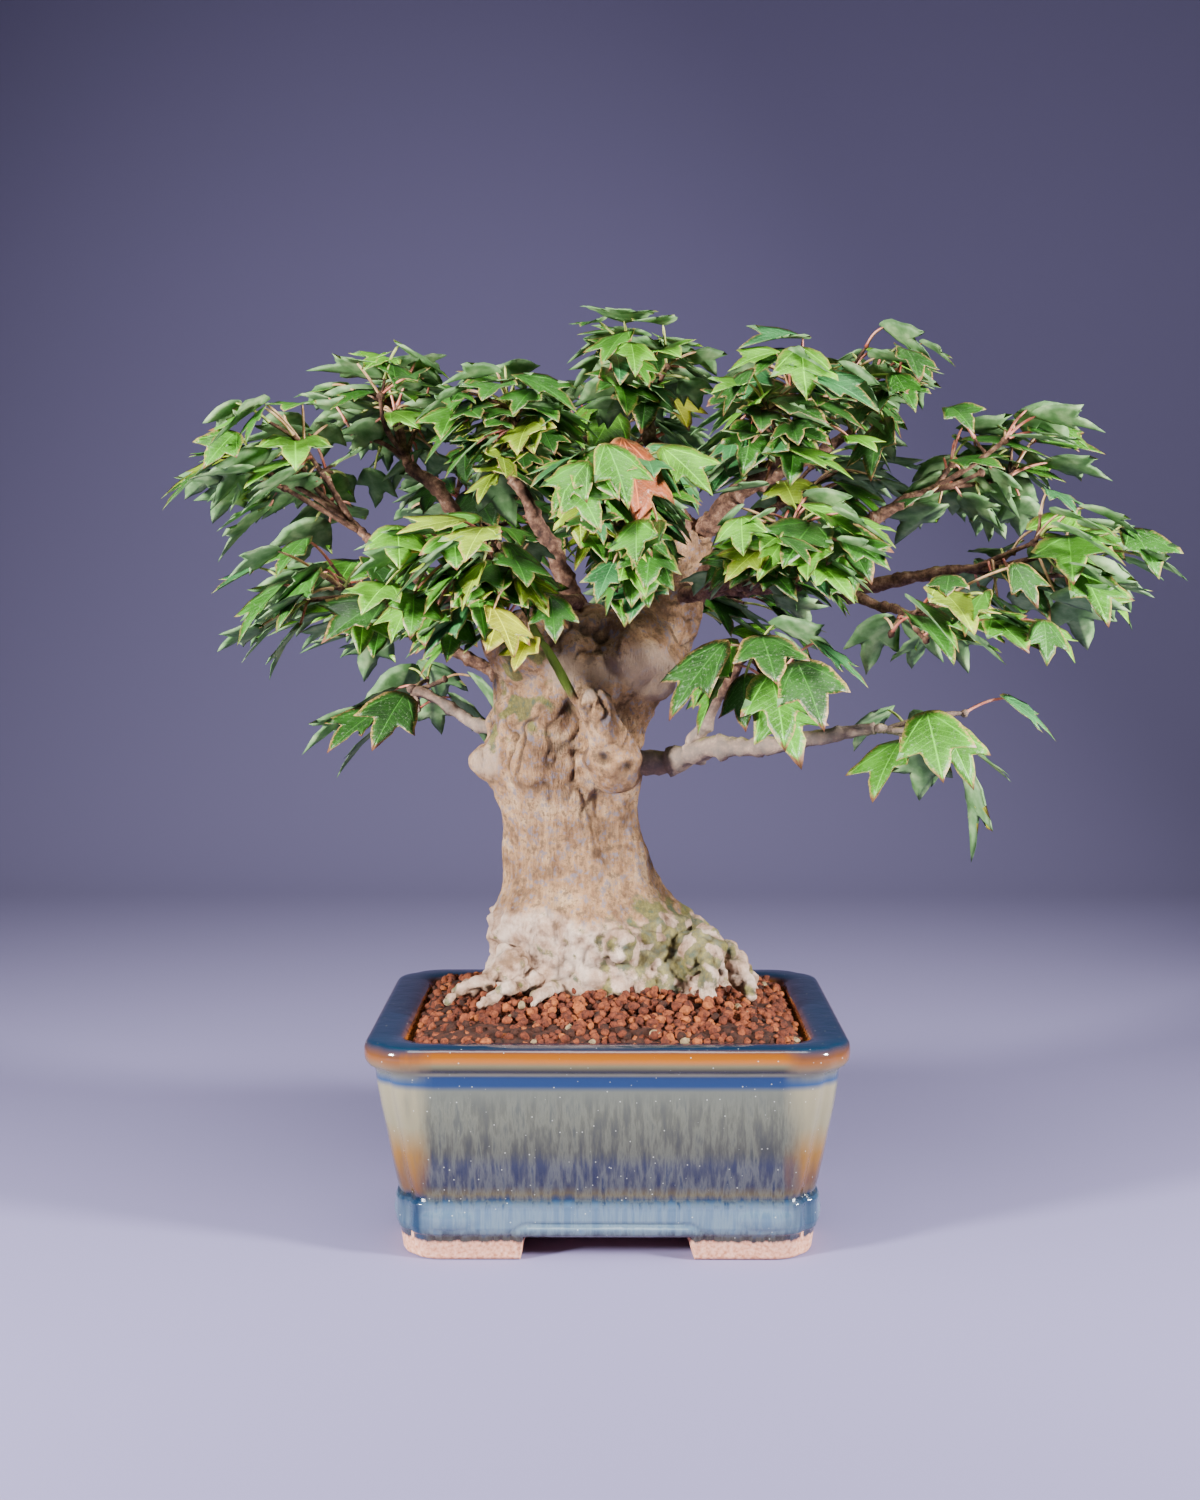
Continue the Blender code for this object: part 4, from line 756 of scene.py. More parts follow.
collar = np.clip((COLLAR_TOP + 4.0 * noise(at, 14.0, 30) - 0.05 * at[:, 0] - height) / 4.0, 0, 1)
gnarled = np.clip((height - GNARLED_FROM + 10.0 * noise(at, 20.0, 29)) / 18.0, 0, 1)
healed = np.clip(near(at, HEALED_LOBES), 0, 1)
lumps = 2.0 * noise(at, 17.0, 31) + (0.35 + 1.2 * gnarled) * noise(at, 7.5, 32) + 0.35 * noise(at, 3.2, 27)
patchy = np.clip(0.5 + 2.2 * noise(at, 18.0, 38), 0, 1)
cracks = creased(at * (1.0, 1.0, 0.7), 7.0, 33, 0.16) * patchy * (0.25 + 0.75 * gnarled) * (1 - healed)
flakes = np.clip(noise(at, 3.2, 28), 0, 1) * gnarled * (1 - healed)
grain_relief = creased(upright, 2.6, 34, 0.35) * (1 - 0.7 * gnarled) * (1 - healed)
billow = np.abs(noise(at, 7.5, 35))
fine_billow = np.abs(noise(at, 3.4, 36))
dimples = near(at, DIMPLES)
hollows = near(at, HOLLOWS)
thin = np.clip(np.hypot(at[:, 0] + 17, at[:, 1] + 16) / 12, 0.15, 1) * np.where(height < 76, 0.5, 1.0)
relief = (1 - collar) * (lumps - 1.3 * cracks + 0.5 * flakes - 0.10 * grain_relief + 0.7 * healed)
relief += collar * (0.8 * noise(at, 15.0, 31) + 3.4 * billow + 1.5 * fine_billow - 0.9)
relief = relief * thin + near(at, BURL) * 1.2 - dimples * 2.6 - hollows * 1.1
at = at + out * (relief - 0.2)[:, None]
at[:, 2] = np.maximum(at[:, 2], 70.0)
bark_skin.vertices.foreach_set("co", (at * MM + POT_AT).astype(np.float32).ravel())
bark_skin.update()
left_top = np.clip(noise(at, 6.0, 41) + 0.1, 0, 1) * near(at, [MOSS_LEFT])
low_right = np.clip(noise(at, 5.0, 42) + 0.35, 0, 1) * near(at, [MOSS_RIGHT])
specked = np.clip(noise(at, 4.5, 43) - 0.15, 0, 1) * collar
# Painted shade in the troughs between the collar's billows.
deep = collar * np.clip(1 - billow / 0.16, 0, 1) * (0.3 + 0.7 * np.clip(1 - fine_billow / 0.3, 0, 1))
shoot_run = np.array(GREEN_SHOOT[1]) - SHOOT_FOOT
shoot_share = np.clip(((at - SHOOT_FOOT) @ shoot_run) / (shoot_run @ shoot_run), 0, 1.2)[:, None]
from_shoot = np.linalg.norm(at - SHOOT_FOOT - shoot_share * shoot_run, axis=1)
shades = {
    "shoot": np.clip(3.6 - from_shoot, 0, 1) * np.clip((shoot_share[:, 0] - 0.02) * 9, 0, 1),
    # Darkens the cracks and grain lines, partly as the bark's own darker wood and partly as painted shade,
    # and paints shade into the dimples, hollows and collar troughs.
    "dark_cracks_and_painted_shade": np.clip(0.95 * cracks + 0.12 * grain_relief + dimples + 0.45 * hollows + 0.8 * deep, 0, 1),
    "collar": collar,
    "healed": healed,
    "moss": np.clip(2.2 * left_top + 2.4 * low_right + 0.9 * specked, 0, 1),
    "gnarled": gnarled,
}
for name, values in shades.items():
    layer = bark_skin.attributes.new(name, "FLOAT", "POINT")
    layer.data.foreach_set("value", values.astype(np.float32))

# Maple bark: thin and pale where it flakes, grey-blue with lichen, ribbed up the lower trunk,
# with a swollen pinkish collar over the roots and moss and algae near the soil.
bark, tree, shader, place = finish_named("old_maple_bark", Roughness=0.82, Specular_IOR_Level=0.3)
blotch = add(tree, "TexNoise", {"Vector": place, "Scale": 0.11, "Detail": 7.0, "Roughness": 0.66})
base = add(tree, "ValToRGB", {"Fac": blotch.outputs["Fac"]}, stops=(
    (0.33, colour("563a28")), (0.44, colour("8c6646")), (0.53, colour("b2875f")), (0.66, colour("d2ae86"))))
drawn_out = stretched(tree, place, (0.9, 0.9, 0.10))
fibre = add(tree, "TexNoise", {"Vector": drawn_out, "Scale": 1.0, "Detail": 5.0, "Roughness": 0.65})
ribs = add(tree, "ValToRGB", {"Fac": fibre.outputs["Fac"]}, stops=(
    (0.36, colour("63442e")), (0.50, colour("a07a56")), (0.64, colour("c8a47c"))))
rough_part = add(tree, "Attribute", attribute_name="gnarled").outputs["Fac"]
ribbing = add(tree, "MapRange", {"Value": rough_part, "To Min": 0.32, "To Max": 0.15})
wood = add(tree, "MixRGB", {"Fac": ribbing.outputs[0], "Color1": base.outputs["Color"],
                            "Color2": ribs.outputs["Color"]})
lichen_map = add(tree, "TexNoise", {"Vector": place, "Scale": 0.34, "Detail": 6.0, "Roughness": 0.72})
lichen_here = add(tree, "MapRange", {"Value": lichen_map.outputs["Fac"], "From Min": 0.53, "From Max": 0.60,
                                     "To Max": 0.75})
lichened = add(tree, "MixRGB", {"Fac": lichen_here.outputs[0], "Color1": wood.outputs["Color"],
                                "Color2": colour("7a7480")})
soot = add(tree, "MapRange", {"Value": lichen_map.outputs["Fac"], "From Min": 0.47, "From Max": 0.40,
                              "To Max": 0.75})
sooty = add(tree, "MixRGB", {"Fac": soot.outputs[0], "Color1": lichened.outputs["Color"],
                             "Color2": colour("6a523e")})
collar = add(tree, "Attribute", attribute_name="collar").outputs["Fac"]
collar_shades = add(tree, "ValToRGB", {"Fac": blotch.outputs["Fac"]}, stops=(
    (0.36, colour("8a6a50")), (0.48, colour("bd9c86")), (0.62, colour("dcc2b0"))))
collar_share = add(tree, "Math", {0: collar, 1: 0.92}, operation="MULTIPLY")
collared = add(tree, "MixRGB", {"Fac": collar_share.outputs[0], "Color1": sooty.outputs["Color"],
                                "Color2": collar_shades.outputs["Color"]})
healed = add(tree, "Attribute", attribute_name="healed").outputs["Fac"]
healed_share = add(tree, "MapRange", {"Value": healed, "From Min": 0.25, "From Max": 0.7, "To Max": 0.7})
healed_over = add(tree, "MixRGB", {"Fac": healed_share.outputs[0], "Color1": collared.outputs["Color"],
                                   "Color2": colour("b79c86")})
moss = add(tree, "Attribute", attribute_name="moss").outputs["Fac"]
moss_fine = add(tree, "TexNoise", {"Vector": place, "Scale": 0.9, "Detail": 5.0, "Roughness": 0.75})
moss_edge = add(tree, "Math", {0: moss_fine.outputs["Fac"], 1: moss}, operation="ADD")
moss_here = add(tree, "MapRange", {"Value": moss_edge.outputs[0], "From Min": 0.72, "From Max": 0.98,
                                   "To Max": 0.85})
moss_shades = add(tree, "ValToRGB", {"Fac": lichen_map.outputs["Fac"]}, stops=(
    (0.36, colour("3f5a4a")), (0.50, colour("5f6030")), (0.62, colour("86803a"))))
mossed = add(tree, "MixRGB", {"Fac": moss_here.outputs[0], "Color1": healed_over.outputs["Color"],
                              "Color2": moss_shades.outputs["Color"]})
shoot_skin = add(tree, "Attribute", attribute_name="shoot").outputs["Fac"]
mossed = add(tree, "MixRGB", {"Fac": shoot_skin, "Color1": mossed.outputs["Color"],
                              "Color2": colour("6f8a2c")})
# Painted shade: darkens the dimples, hollows and the collar's troughs, and the cracks, where it is partly the
# bark's own darker wood.
crack_and_shade_mask = add(tree, "Attribute", attribute_name="dark_cracks_and_painted_shade")
cracks_darkened_and_shaded = add(tree, "MixRGB", {"Fac": crack_and_shade_mask.outputs["Fac"], "Color1": mossed.outputs["Color"],
                                "Color2": colour("3a291c")})
tree.links.new(cracks_darkened_and_shaded.outputs["Color"], shader.inputs["Base Color"])
fine_grain = stretched(tree, place, (1.4, 1.4, 0.5))
tooth = add(tree, "TexNoise", {"Vector": fine_grain, "Scale": 1.0, "Detail": 7.0, "Roughness": 0.72})
bump = add(tree, "Bump", {"Height": tooth.outputs["Fac"], "Strength": 1.0, "Distance": 0.0016})
tree.links.new(bump.outputs["Normal"], shader.inputs["Normal"])

trunk = bpy.data.objects.new("trunk_bark", bark_skin)
bpy.context.scene.collection.objects.link(trunk)
bark_skin.materials.clear()
bark_skin.materials.append(bark)
bark_skin.shade_smooth()
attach(trunk, "root")
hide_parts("trunk")

# Boughs: young maple wood that leaves the trunk and its leader, each pruned to one limb that
# swells at its foot and is ringed by old bud scars.
# Each row is what it leaves, where on it (a height, or a share of the parent's length), its
# bearing in degrees, reach, height of its tip, its two radii, and its bow.
BOUGHS = {
    "left": ("trunk", 190, 200, 72, 222, 4.4, 2.2, -7),
    "left_low": ("left", 0.62, 228, 24, 204, 2.2, 1.5, 0),
    "left_back": ("trunk", 168, 142, 62, 191, 3.6, 2.0, -4),
    "left_hanging": ("trunk", 161, 158, 58, 172, 3.2, 1.8, -5),
    "upper_left": ("trunk", 196, 188, 58, 247, 4.4, 2.2, -3),
    "mid_left": ("trunk", 198, 205, 26, 243, 3.8, 2.2, 0),
    "front_left": ("trunk", 196, 250, 42, 206, 3.0, 1.7, 3),
    "top": ("leader", 222, 215, 16, 264, 5.0, 2.4, 0),
    "front": ("leader", 206, 248, 44, 229, 3.6, 1.8, 0),
    "upper_right": ("leader", 222, 336, 34, 250, 4.4, 2.2, 0),
    "right_top": ("upper_right", 0.55, 12, 38, 258, 2.8, 1.8, 0),
    "right": ("leader", 214, 352, 78, 237, 4.0, 2.0, -4),
    "far_right": ("leader", 207, 347, 94, 213, 4.2, 2.0, -2),
    "front_right": ("leader", 203, 304, 46, 208, 3.6, 1.9, 2),
    "right_low": ("far_right", 0.5, 318, 34, 201, 2.6, 1.6, 0),
    "low_right": ("trunk", 154, 328, 112, 165, 5.6, 2.0, -5),
    "low_fork": ("low_right", 0.42, 316, 22, 187, 2.8, 1.8, 0),
    "back_left": ("trunk", 195, 135, 58, 224, 4.0, 2.0, -2),
    "back": ("leader", 214, 118, 50, 246, 4.2, 2.0, 0),
    "back_right": ("leader", 210, 44, 52, 235, 4.0, 2.0, -2),
    "back_low": ("trunk", 186, 62, 52, 198, 3.8, 2.0, -2),
}
BOUGH_POINTS = 7
BOUGH_RINGS = 90
BOUGH_SIDES = 18


def trunk_axis(height):
    """The middle of the trunk at a height."""
    left, right, front, back = (np.interp(height, TRUNK_ROWS[:, 0], TRUNK_ROWS[:, k]) for k in (1, 2, 3, 4))
    return Vector(((left + right) / 2, (front + back) / 2, height))


def leader_axis(height):
    """The middle of the leader, which carries on from the trunk."""
    foot, tip = Vector(LEADER[0]), Vector(LEADER[1])
    return foot.lerp(tip, (height - foot.z) / (tip.z - foot.z))


def plan_boughs():
    """The points and radii of every bough, from its row."""
    plans = {}
    for seed, (key, row) in enumerate(BOUGHS.items()):
        parent, place, bearing, reach, tip_height, foot_radius, tip_radius, bow = row
        if parent == "trunk":
            foot = trunk_axis(place)
        elif parent == "leader":
            foot = leader_axis(place)
        else:
            along = place * (BOUGH_POINTS - 1)
            points = plans[parent][0]
            foot = points[int(along)].lerp(points[int(along) + 1], along % 1.0)
        angle = math.radians(bearing)
        tip = foot + Vector((reach * math.cos(angle), reach * math.sin(angle), 0.0))
        tip.z = tip_height
        radii = [foot_radius + (tip_radius - foot_radius) * k / (BOUGH_POINTS - 1)
                 for k in range(BOUGH_POINTS)]
        plans[key] = (limb_points(foot, tip, bow, 0.05, 100 + seed, BOUGH_POINTS), radii)
    return plans


bough_plans = plan_boughs()
paths = np.array([finer(points, BOUGH_RINGS) for points, _ in bough_plans.values()])
widths = np.array([np.interp(np.linspace(0, 1, BOUGH_RINGS), np.linspace(0, 1, BOUGH_POINTS), radii)
                   for _, radii in bough_plans.values()])
travel = np.concatenate([np.zeros((len(paths), 1)),
                         np.cumsum(np.linalg.norm(np.diff(paths, axis=1), axis=2), axis=1)], axis=1)
gap = (travel + np.arange(len(paths))[:, None] * 3.7) % 13.0
scars = np.exp(-((gap - 6.5) / 1.1)**2)
widths = widths * (0.90 + 0.26 * scars)
bough_points, bough_faces = tubes(paths, widths, BOUGH_SIDES)
middles = np.concatenate([np.repeat(paths, BOUGH_SIDES, axis=1), paths[:, [0, -1]]], axis=1).reshape(-1, 3)
away = bough_points - middles
knobbly = 0.26 * noise(bough_points, 5.0, 51) + 0.16 * noise(bough_points, 1.9, 52)
bough_points = middles + away * (1 + knobbly[:, None])

# Young maple bark: red-brown and finely ridged, grey with lichen along the oldest limb, and
# with moss on its upper side.
young_bark, tree, shader, place = finish_named("young_maple_bark", Roughness=0.8, Specular_IOR_Level=0.3)
mottle = add(tree, "TexNoise", {"Vector": place, "Scale": 0.28, "Detail": 6.0, "Roughness": 0.7})
base = add(tree, "ValToRGB", {"Fac": mottle.outputs["Fac"]}, stops=(
    (0.34, colour("2c1a12")), (0.47, colour("54382a")), (0.58, colour("7c5a45")), (0.70, colour("a58870"))))
split = add(tree, "SeparateXYZ", {"Vector": place})
old = add(tree, "MapRange", {"Value": split.outputs["Z"], "From Min": 176.0, "From Max": 164.0,
                             "To Max": 0.45})
greyed = add(tree, "MixRGB", {"Fac": old.outputs[0], "Color1": base.outputs["Color"],
                              "Color2": colour("8f8478")})
facing = add(tree, "NewGeometry")
up = add(tree, "SeparateXYZ", {"Vector": facing.outputs["Normal"]})
moss = add(tree, "Math", {0: up.outputs["Z"], 1: mottle.outputs["Fac"]}, operation="MULTIPLY")
moss = add(tree, "MapRange", {"Value": moss.outputs[0], "From Min": 0.40, "From Max": 0.56, "To Max": 0.7})
mossy = add(tree, "MixRGB", {"Fac": moss.outputs[0], "Color1": greyed.outputs["Color"],
                             "Color2": colour("7b7440")})
tree.links.new(mossy.outputs["Color"], shader.inputs["Base Color"])
tooth = add(tree, "TexNoise", {"Vector": place, "Scale": 1.3, "Detail": 5.0, "Roughness": 0.7})
bump = add(tree, "Bump", {"Height": tooth.outputs["Fac"], "Strength": 0.8, "Distance": 0.0005})
tree.links.new(bump.outputs["Normal"], shader.inputs["Normal"])

boughs = piece_from("bough_bark", bough_points, bough_faces, [young_bark])
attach(boughs, "root")
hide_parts(*["bough_" + key for key in BOUGHS])

# Foliage: each bough ends in a mass of opposite leaves on thin twigs. A leaf has three lobes
# that point forwards, on a long stalk, and the oldest are dusty, with tan edges and dead tips.
# Each row is the mass's centre, its half sizes, the furthest tip with that leaf's length and
# slope in degrees, sprays, the usual slope of its leaves, most leaves, and seed.
MASSES = {
    "left": ((-97, -4, 246), (20, 20, 14), (-121, -6, 258), 27, 2, 4, -14, 8, 9),
    "left_low": ((-86, -24, 209), (20, 18, 13), (-108, -24, 197), 30, -8, 3, -24, 8, 9),
    "left_back": ((-76, 54, 204), (22, 22, 14), (-104, 70, 198), 27, -16, 4, -22, 8, 5),
    "left_hanging": ((-68, 44, 172), (18, 20, 14), (-99, 44, 145), 25, -35, 3, -30, 8, 2),
    "upper_left": ((-70, 12, 264), (22, 24, 12), (-97, 14, 285), 27, 20, 4, -10, 8, 11),
    "mid_left": ((-30, -4, 262), (22, 22, 12), (-44, -24, 276), 26, 8, 4, -14, 8, 12),
    "front_left": ((-42, -50, 217), (24, 16, 13), (-68, -54, 222), 30, -6, 4, -22, 8, 0),
    "top": ((12, 4, 279), (20, 22, 10), (-9, -4, 293), 25, 10, 4, -8, 8, 9),
    "front": ((2, -48, 240), (22, 18, 14), (14, -72, 228), 32, -48, 4, -26, 8, 6),
    "upper_right": ((52, -8, 264), (20, 22, 13), (43, -14, 290), 26, 6, 4, -16, 8, 1),
    "right_top": ((87, 16, 270), (18, 20, 13), (110, 18, 264), 27, -28, 4, -22, 8, 10),
    "right": ((122, 12, 250), (22, 22, 13), (146, 8, 257), 30, 2, 4, -16, 8, 6),
    "far_right": ((138, -12, 218), (24, 20, 13), (165, -10, 227), 32, 2, 4, -20, 8, 10),
    "front_right": ((58, -46, 219), (22, 18, 14), (40, -58, 199), 30, -22, 4, -26, 8, 11),
    "right_low": ((100, -42, 199), (22, 18, 13), (127, -44, 180), 30, -24, 3, -30, 8, 3),
    "low_right": ((98, -46, 166), (20, 16, 12), (117, -42, 125), 33, -72, 3, -40, 8, 10),
    "low_fork": ((52, -52, 184), (18, 15, 12), (58, -62, 156), 30, -50, 3, -34, 8, 0),
    "back_left": ((-42, 66, 236), (26, 24, 14), (-70, 98, 232), 28, -10, 5, -18, 12, 12),
    "back": ((4, 72, 260), (26, 24, 14), (0, 112, 258), 28, -8, 5, -16, 12, 1),
    "back_right": ((72, 64, 245), (26, 24, 14), (104, 92, 240), 28, -12, 5, -18, 12, 2),
    "back_low": ((32, 76, 206), (24, 22, 14), (44, 114, 198), 28, -18, 5, -24, 12, 3),
}
GAP = 0.3
STEM_RADIUS = 1.5
TWIG_RADIUS = 1.0
GOLDEN_ANGLE = math.radians(137.5)
FAN_BEARINGS = (0, 62, -58, 118, -122, 175)
LEAF_LENGTHS = (22.0, 30.0)
# Strewn leaves, which fill a mass out: their lengths and stalks, the tries for each mass, the
# way they keep to other leaves and limbs, how far they spread as shares of the mass's half
# sizes, and how they are turned, tilted and rolled, in degrees.
FILL_LENGTHS = (16.0, 29.0)
FILL_STALKS = (8.0, 21.0)
FILL_CANDIDATES = 2600
FILL_REACH = np.array([1.9, 1.9, 1.8])
FILL_CLEARANCE = 0.8
FILL_LIMB_CLEARANCE = 1.2
FILL_TURNS = 55
FILL_TILTS = (-24, 18)
FILL_ROLLS = 26
SPARSE_REACH = 1.2              # for the masses with few leaves
SPARSE_MOST = 9
STALK_LENGTHS = (7.0, 12.0)
STALK_RISES = (15.0, 50.0)
LEAVES_PER_SPRAY = 2
LEAF_TRIES = 8
LEAF_STEP = 1.6
LEAF_FOLD = 0.16                # how far the lobes rise
LEAF_SAG = 0.20                 # how far the tip drops
LEAF_THICKNESS = 1.5
LEAF_ROLL = 22.0
STALK_KEEL = 0.9
HUB_SHARE = 0.4                 # how far from bough to centre the stem forks
HUB_DROP = 0.1
LEAD_SHARE = 0.35               # how far from its leaf to the hub the leading twig ends
LEAD_DROP = 3.0
SPRAY_SHARES = (0.35, 0.70)
SPRAY_HEIGHTS = (-0.55, 0.45)
GOLDEN_SHARE = 0.618
FORK_STEP = 0.16
SPRAY_CLEARANCE = 9.0
SPRAY_TRIES = 3
FAN_JITTER = 20.0
TWIG_TAPER = 0.7
ROOT_DEPTH = 0.3
LIMB_CLEARANCE = 1.3            # from leaves and twigs to limbs
TRUNK_SWELL = 1.06              # how far the trunk's flutes stand out from its table
LEAF_CLEARANCE = 2.0            # from leaf to leaf
LEAF_REACH = 75.0               # leaves with hearts further apart than this can't touch
CELL_CLEARANCE = 0.6            # from a mass to the side of its space
BOX_CLEARANCE = 0.6             # from a strewn leaf to the reach of the whole plant
# Half outline that the rule keeps clear: along and across, as shares of the leaf's length.
CLEAR_OUTLINE = ((0.0, 0.03), (0.22, 0.27), (0.68, 0.41), (0.60, 0.15))
HEART = 0.42
# No strewn leaf stands before the bronze leaf that hangs in front: the middle, back and foot
# of the space that is kept free, and half its width.
BRONZE_VIEW = (12.0, -58.0, 222.0)
BRONZE_VIEW_HALF = 15.0
# How much lower than its centre some masses are filled.
FILL_DROPS = {"front": 14.0, "front_left": 6.0, "front_right": 8.0, "mid_left": 5.0, "upper_right": 5.0}
# How many leaves fill out each mass, besides those that its outline is made of.
FILLS = {
    "left": 34, "left_low": 16, "left_back": 16, "left_hanging": 2, "upper_left": 40, "mid_left": 60,
    "front_left": 50, "top": 34, "front": 86, "upper_right": 46, "right_top": 32, "right": 36,
    "far_right": 30, "front_right": 54, "right_low": 14, "low_right": 2, "low_fork": 4,
    "back_left": 24, "back": 24, "back_right": 24, "back_low": 16,
}


def limb_table(plans):
    """Every limb as short straight pieces: starts, ends and radii, for clearance tests."""
    starts, ends, radii = [], [], []
    runs = [((foot, tip), sizes) for foot, tip, *sizes in FUSED_LIMBS] + list(plans.values())
    for points, sizes in runs:
        for k in range(len(points) - 1):
            starts.append(points[k])
            ends.append(points[k + 1])
            radii.append(max(sizes[k], sizes[k + 1]))
    for x, y, z, radius in KNOBS:
        starts.append((x, y, z))
        ends.append((x, y, z + 0.01))
        radii.append(radius)
    return np.array(starts), np.array(ends), np.array(radii)


def clear_of_limbs(points, limbs, clearance):
    """Which points lie outside every limb and the trunk, and no closer than the clearance."""
    starts, ends, radii = limbs
    runs = ends - starts
    to_points = points[..., None, :] - starts
    t = np.clip((to_points * runs).sum(-1) / (runs * runs).sum(-1), 0, 1)
    away = np.linalg.norm(to_points - t[..., None] * runs, axis=-1) - radii
    x, y, z = np.moveaxis(points, -1, 0)
    left, right, front, back = (np.interp(z, TRUNK_ROWS[:, 0], TRUNK_ROWS[:, k]) for k in (1, 2, 3, 4))
    from_side = (x - (left + right) / 2) / ((right - left) / 2 * TRUNK_SWELL + clearance)
    from_front = (y - (front + back) / 2) / ((back - front) / 2 * TRUNK_SWELL + clearance)
    in_trunk = (from_side**2 + from_front**2 < 1) & (z < TRUNK_ROWS[-1, 0] + clearance)
    return (away.min(axis=-1) >= clearance) & ~in_trunk


def in_own_space(points, centre, others):
    """Which points are nearer the mass's own centre than any other's."""
    ways = centre - others
    ways = ways / np.linalg.norm(ways, axis=1)[:, None]
    middles = ((centre + others) / 2 * ways).sum(axis=1)
    return ((points @ ways.T - middles) >= CELL_CLEARANCE).all(axis=-1)


def direction(bearing, slope):
    """The unit vector at a bearing and a slope in radians."""
    return Vector((math.cos(bearing) * math.cos(slope), math.sin(bearing) * math.cos(slope),
                   math.sin(slope)))


def leaf_frame(root, bearing, slope, roll, length):
    """A leaf's root, its directions along, across and off the blade, and its length."""
    along = direction(bearing, slope)
    level = Vector((math.sin(bearing), -math.cos(bearing), 0.0))
    across = level * math.cos(roll) + level.cross(along) * math.sin(roll)
    return Vector(root), along, across, across.cross(along), length


def blade_point(leaf, u, v):
    """A point of the blade: its lobes rise with the fold, and its tip sags."""
    root, along, across, off, length = leaf
    return root + (along * u + across * v + off * (LEAF_FOLD * abs(v) - LEAF_SAG * u * u)) * length


def blade_outline(leaf):
    """The outline's points in order: up one side, the tip, and down the other side."""
    shares = [*CLEAR_OUTLINE, (1.0, 0.0), *[(u, -v) for u, v in reversed(CLEAR_OUTLINE)]]
    return [blade_point(leaf, u, v) for u, v in shares]


def leaf_samples(leaf):
    """Points spread over a blade, for clearance tests."""
    outline = np.array(blade_outline(leaf))
    heart = np.array(blade_point(leaf, HEART, 0.0))
    middles = (outline + np.roll(outline, -1, axis=0)) / 2
    rim = np.vstack((outline, middles))
    return np.vstack([heart] + [heart + (rim - heart) * share for share in (0.35, 0.7, 1.0)])


def leaf_shell(start, leaf):
    """The corners and triangles of a leaf, closed, with its three-sided stalk."""
    root, along, _, off, _ = leaf
    heart = blade_point(leaf, HEART, 0.0)
    outline = blade_outline(leaf)
    last = len(outline) - 1
    keel, upper, lower, foot = (last + k for k in (1, 2, 3, 4))
    corners = outline + [root + (along - off) * STALK_KEEL]
    corners += [heart + off * LEAF_THICKNESS * half for half in (0.5, -0.5)]
    corners.append(start - (root - start).normalized() * TWIG_RADIUS * ROOT_DEPTH)
    faces = [(k, k + 1, upper) for k in range(last)] + [(last, 0, upper)]
    faces += [(k + 1, k, lower) for k in range(last)] + [(0, keel, lower), (keel, last, lower)]
    return corners, faces + [(0, last, foot), (last, keel, foot), (keel, 0, foot)]


def twig_shell(start, end, radius):
    """The corners and triangles of a square prism round a twig."""
    unit = (end - start).normalized()
    side = unit.orthogonal().normalized() * radius
    other = unit.cross(side)
    ring = [side, other, -side, -other]
    corners = [start + edge for edge in ring] + [end + edge for edge in ring]
    faces = []
    for k in range(4):
        after = (k + 1) % 4
        faces += [(k, after, 4 + after), (k, 4 + after, 4 + k)]
    return corners, faces


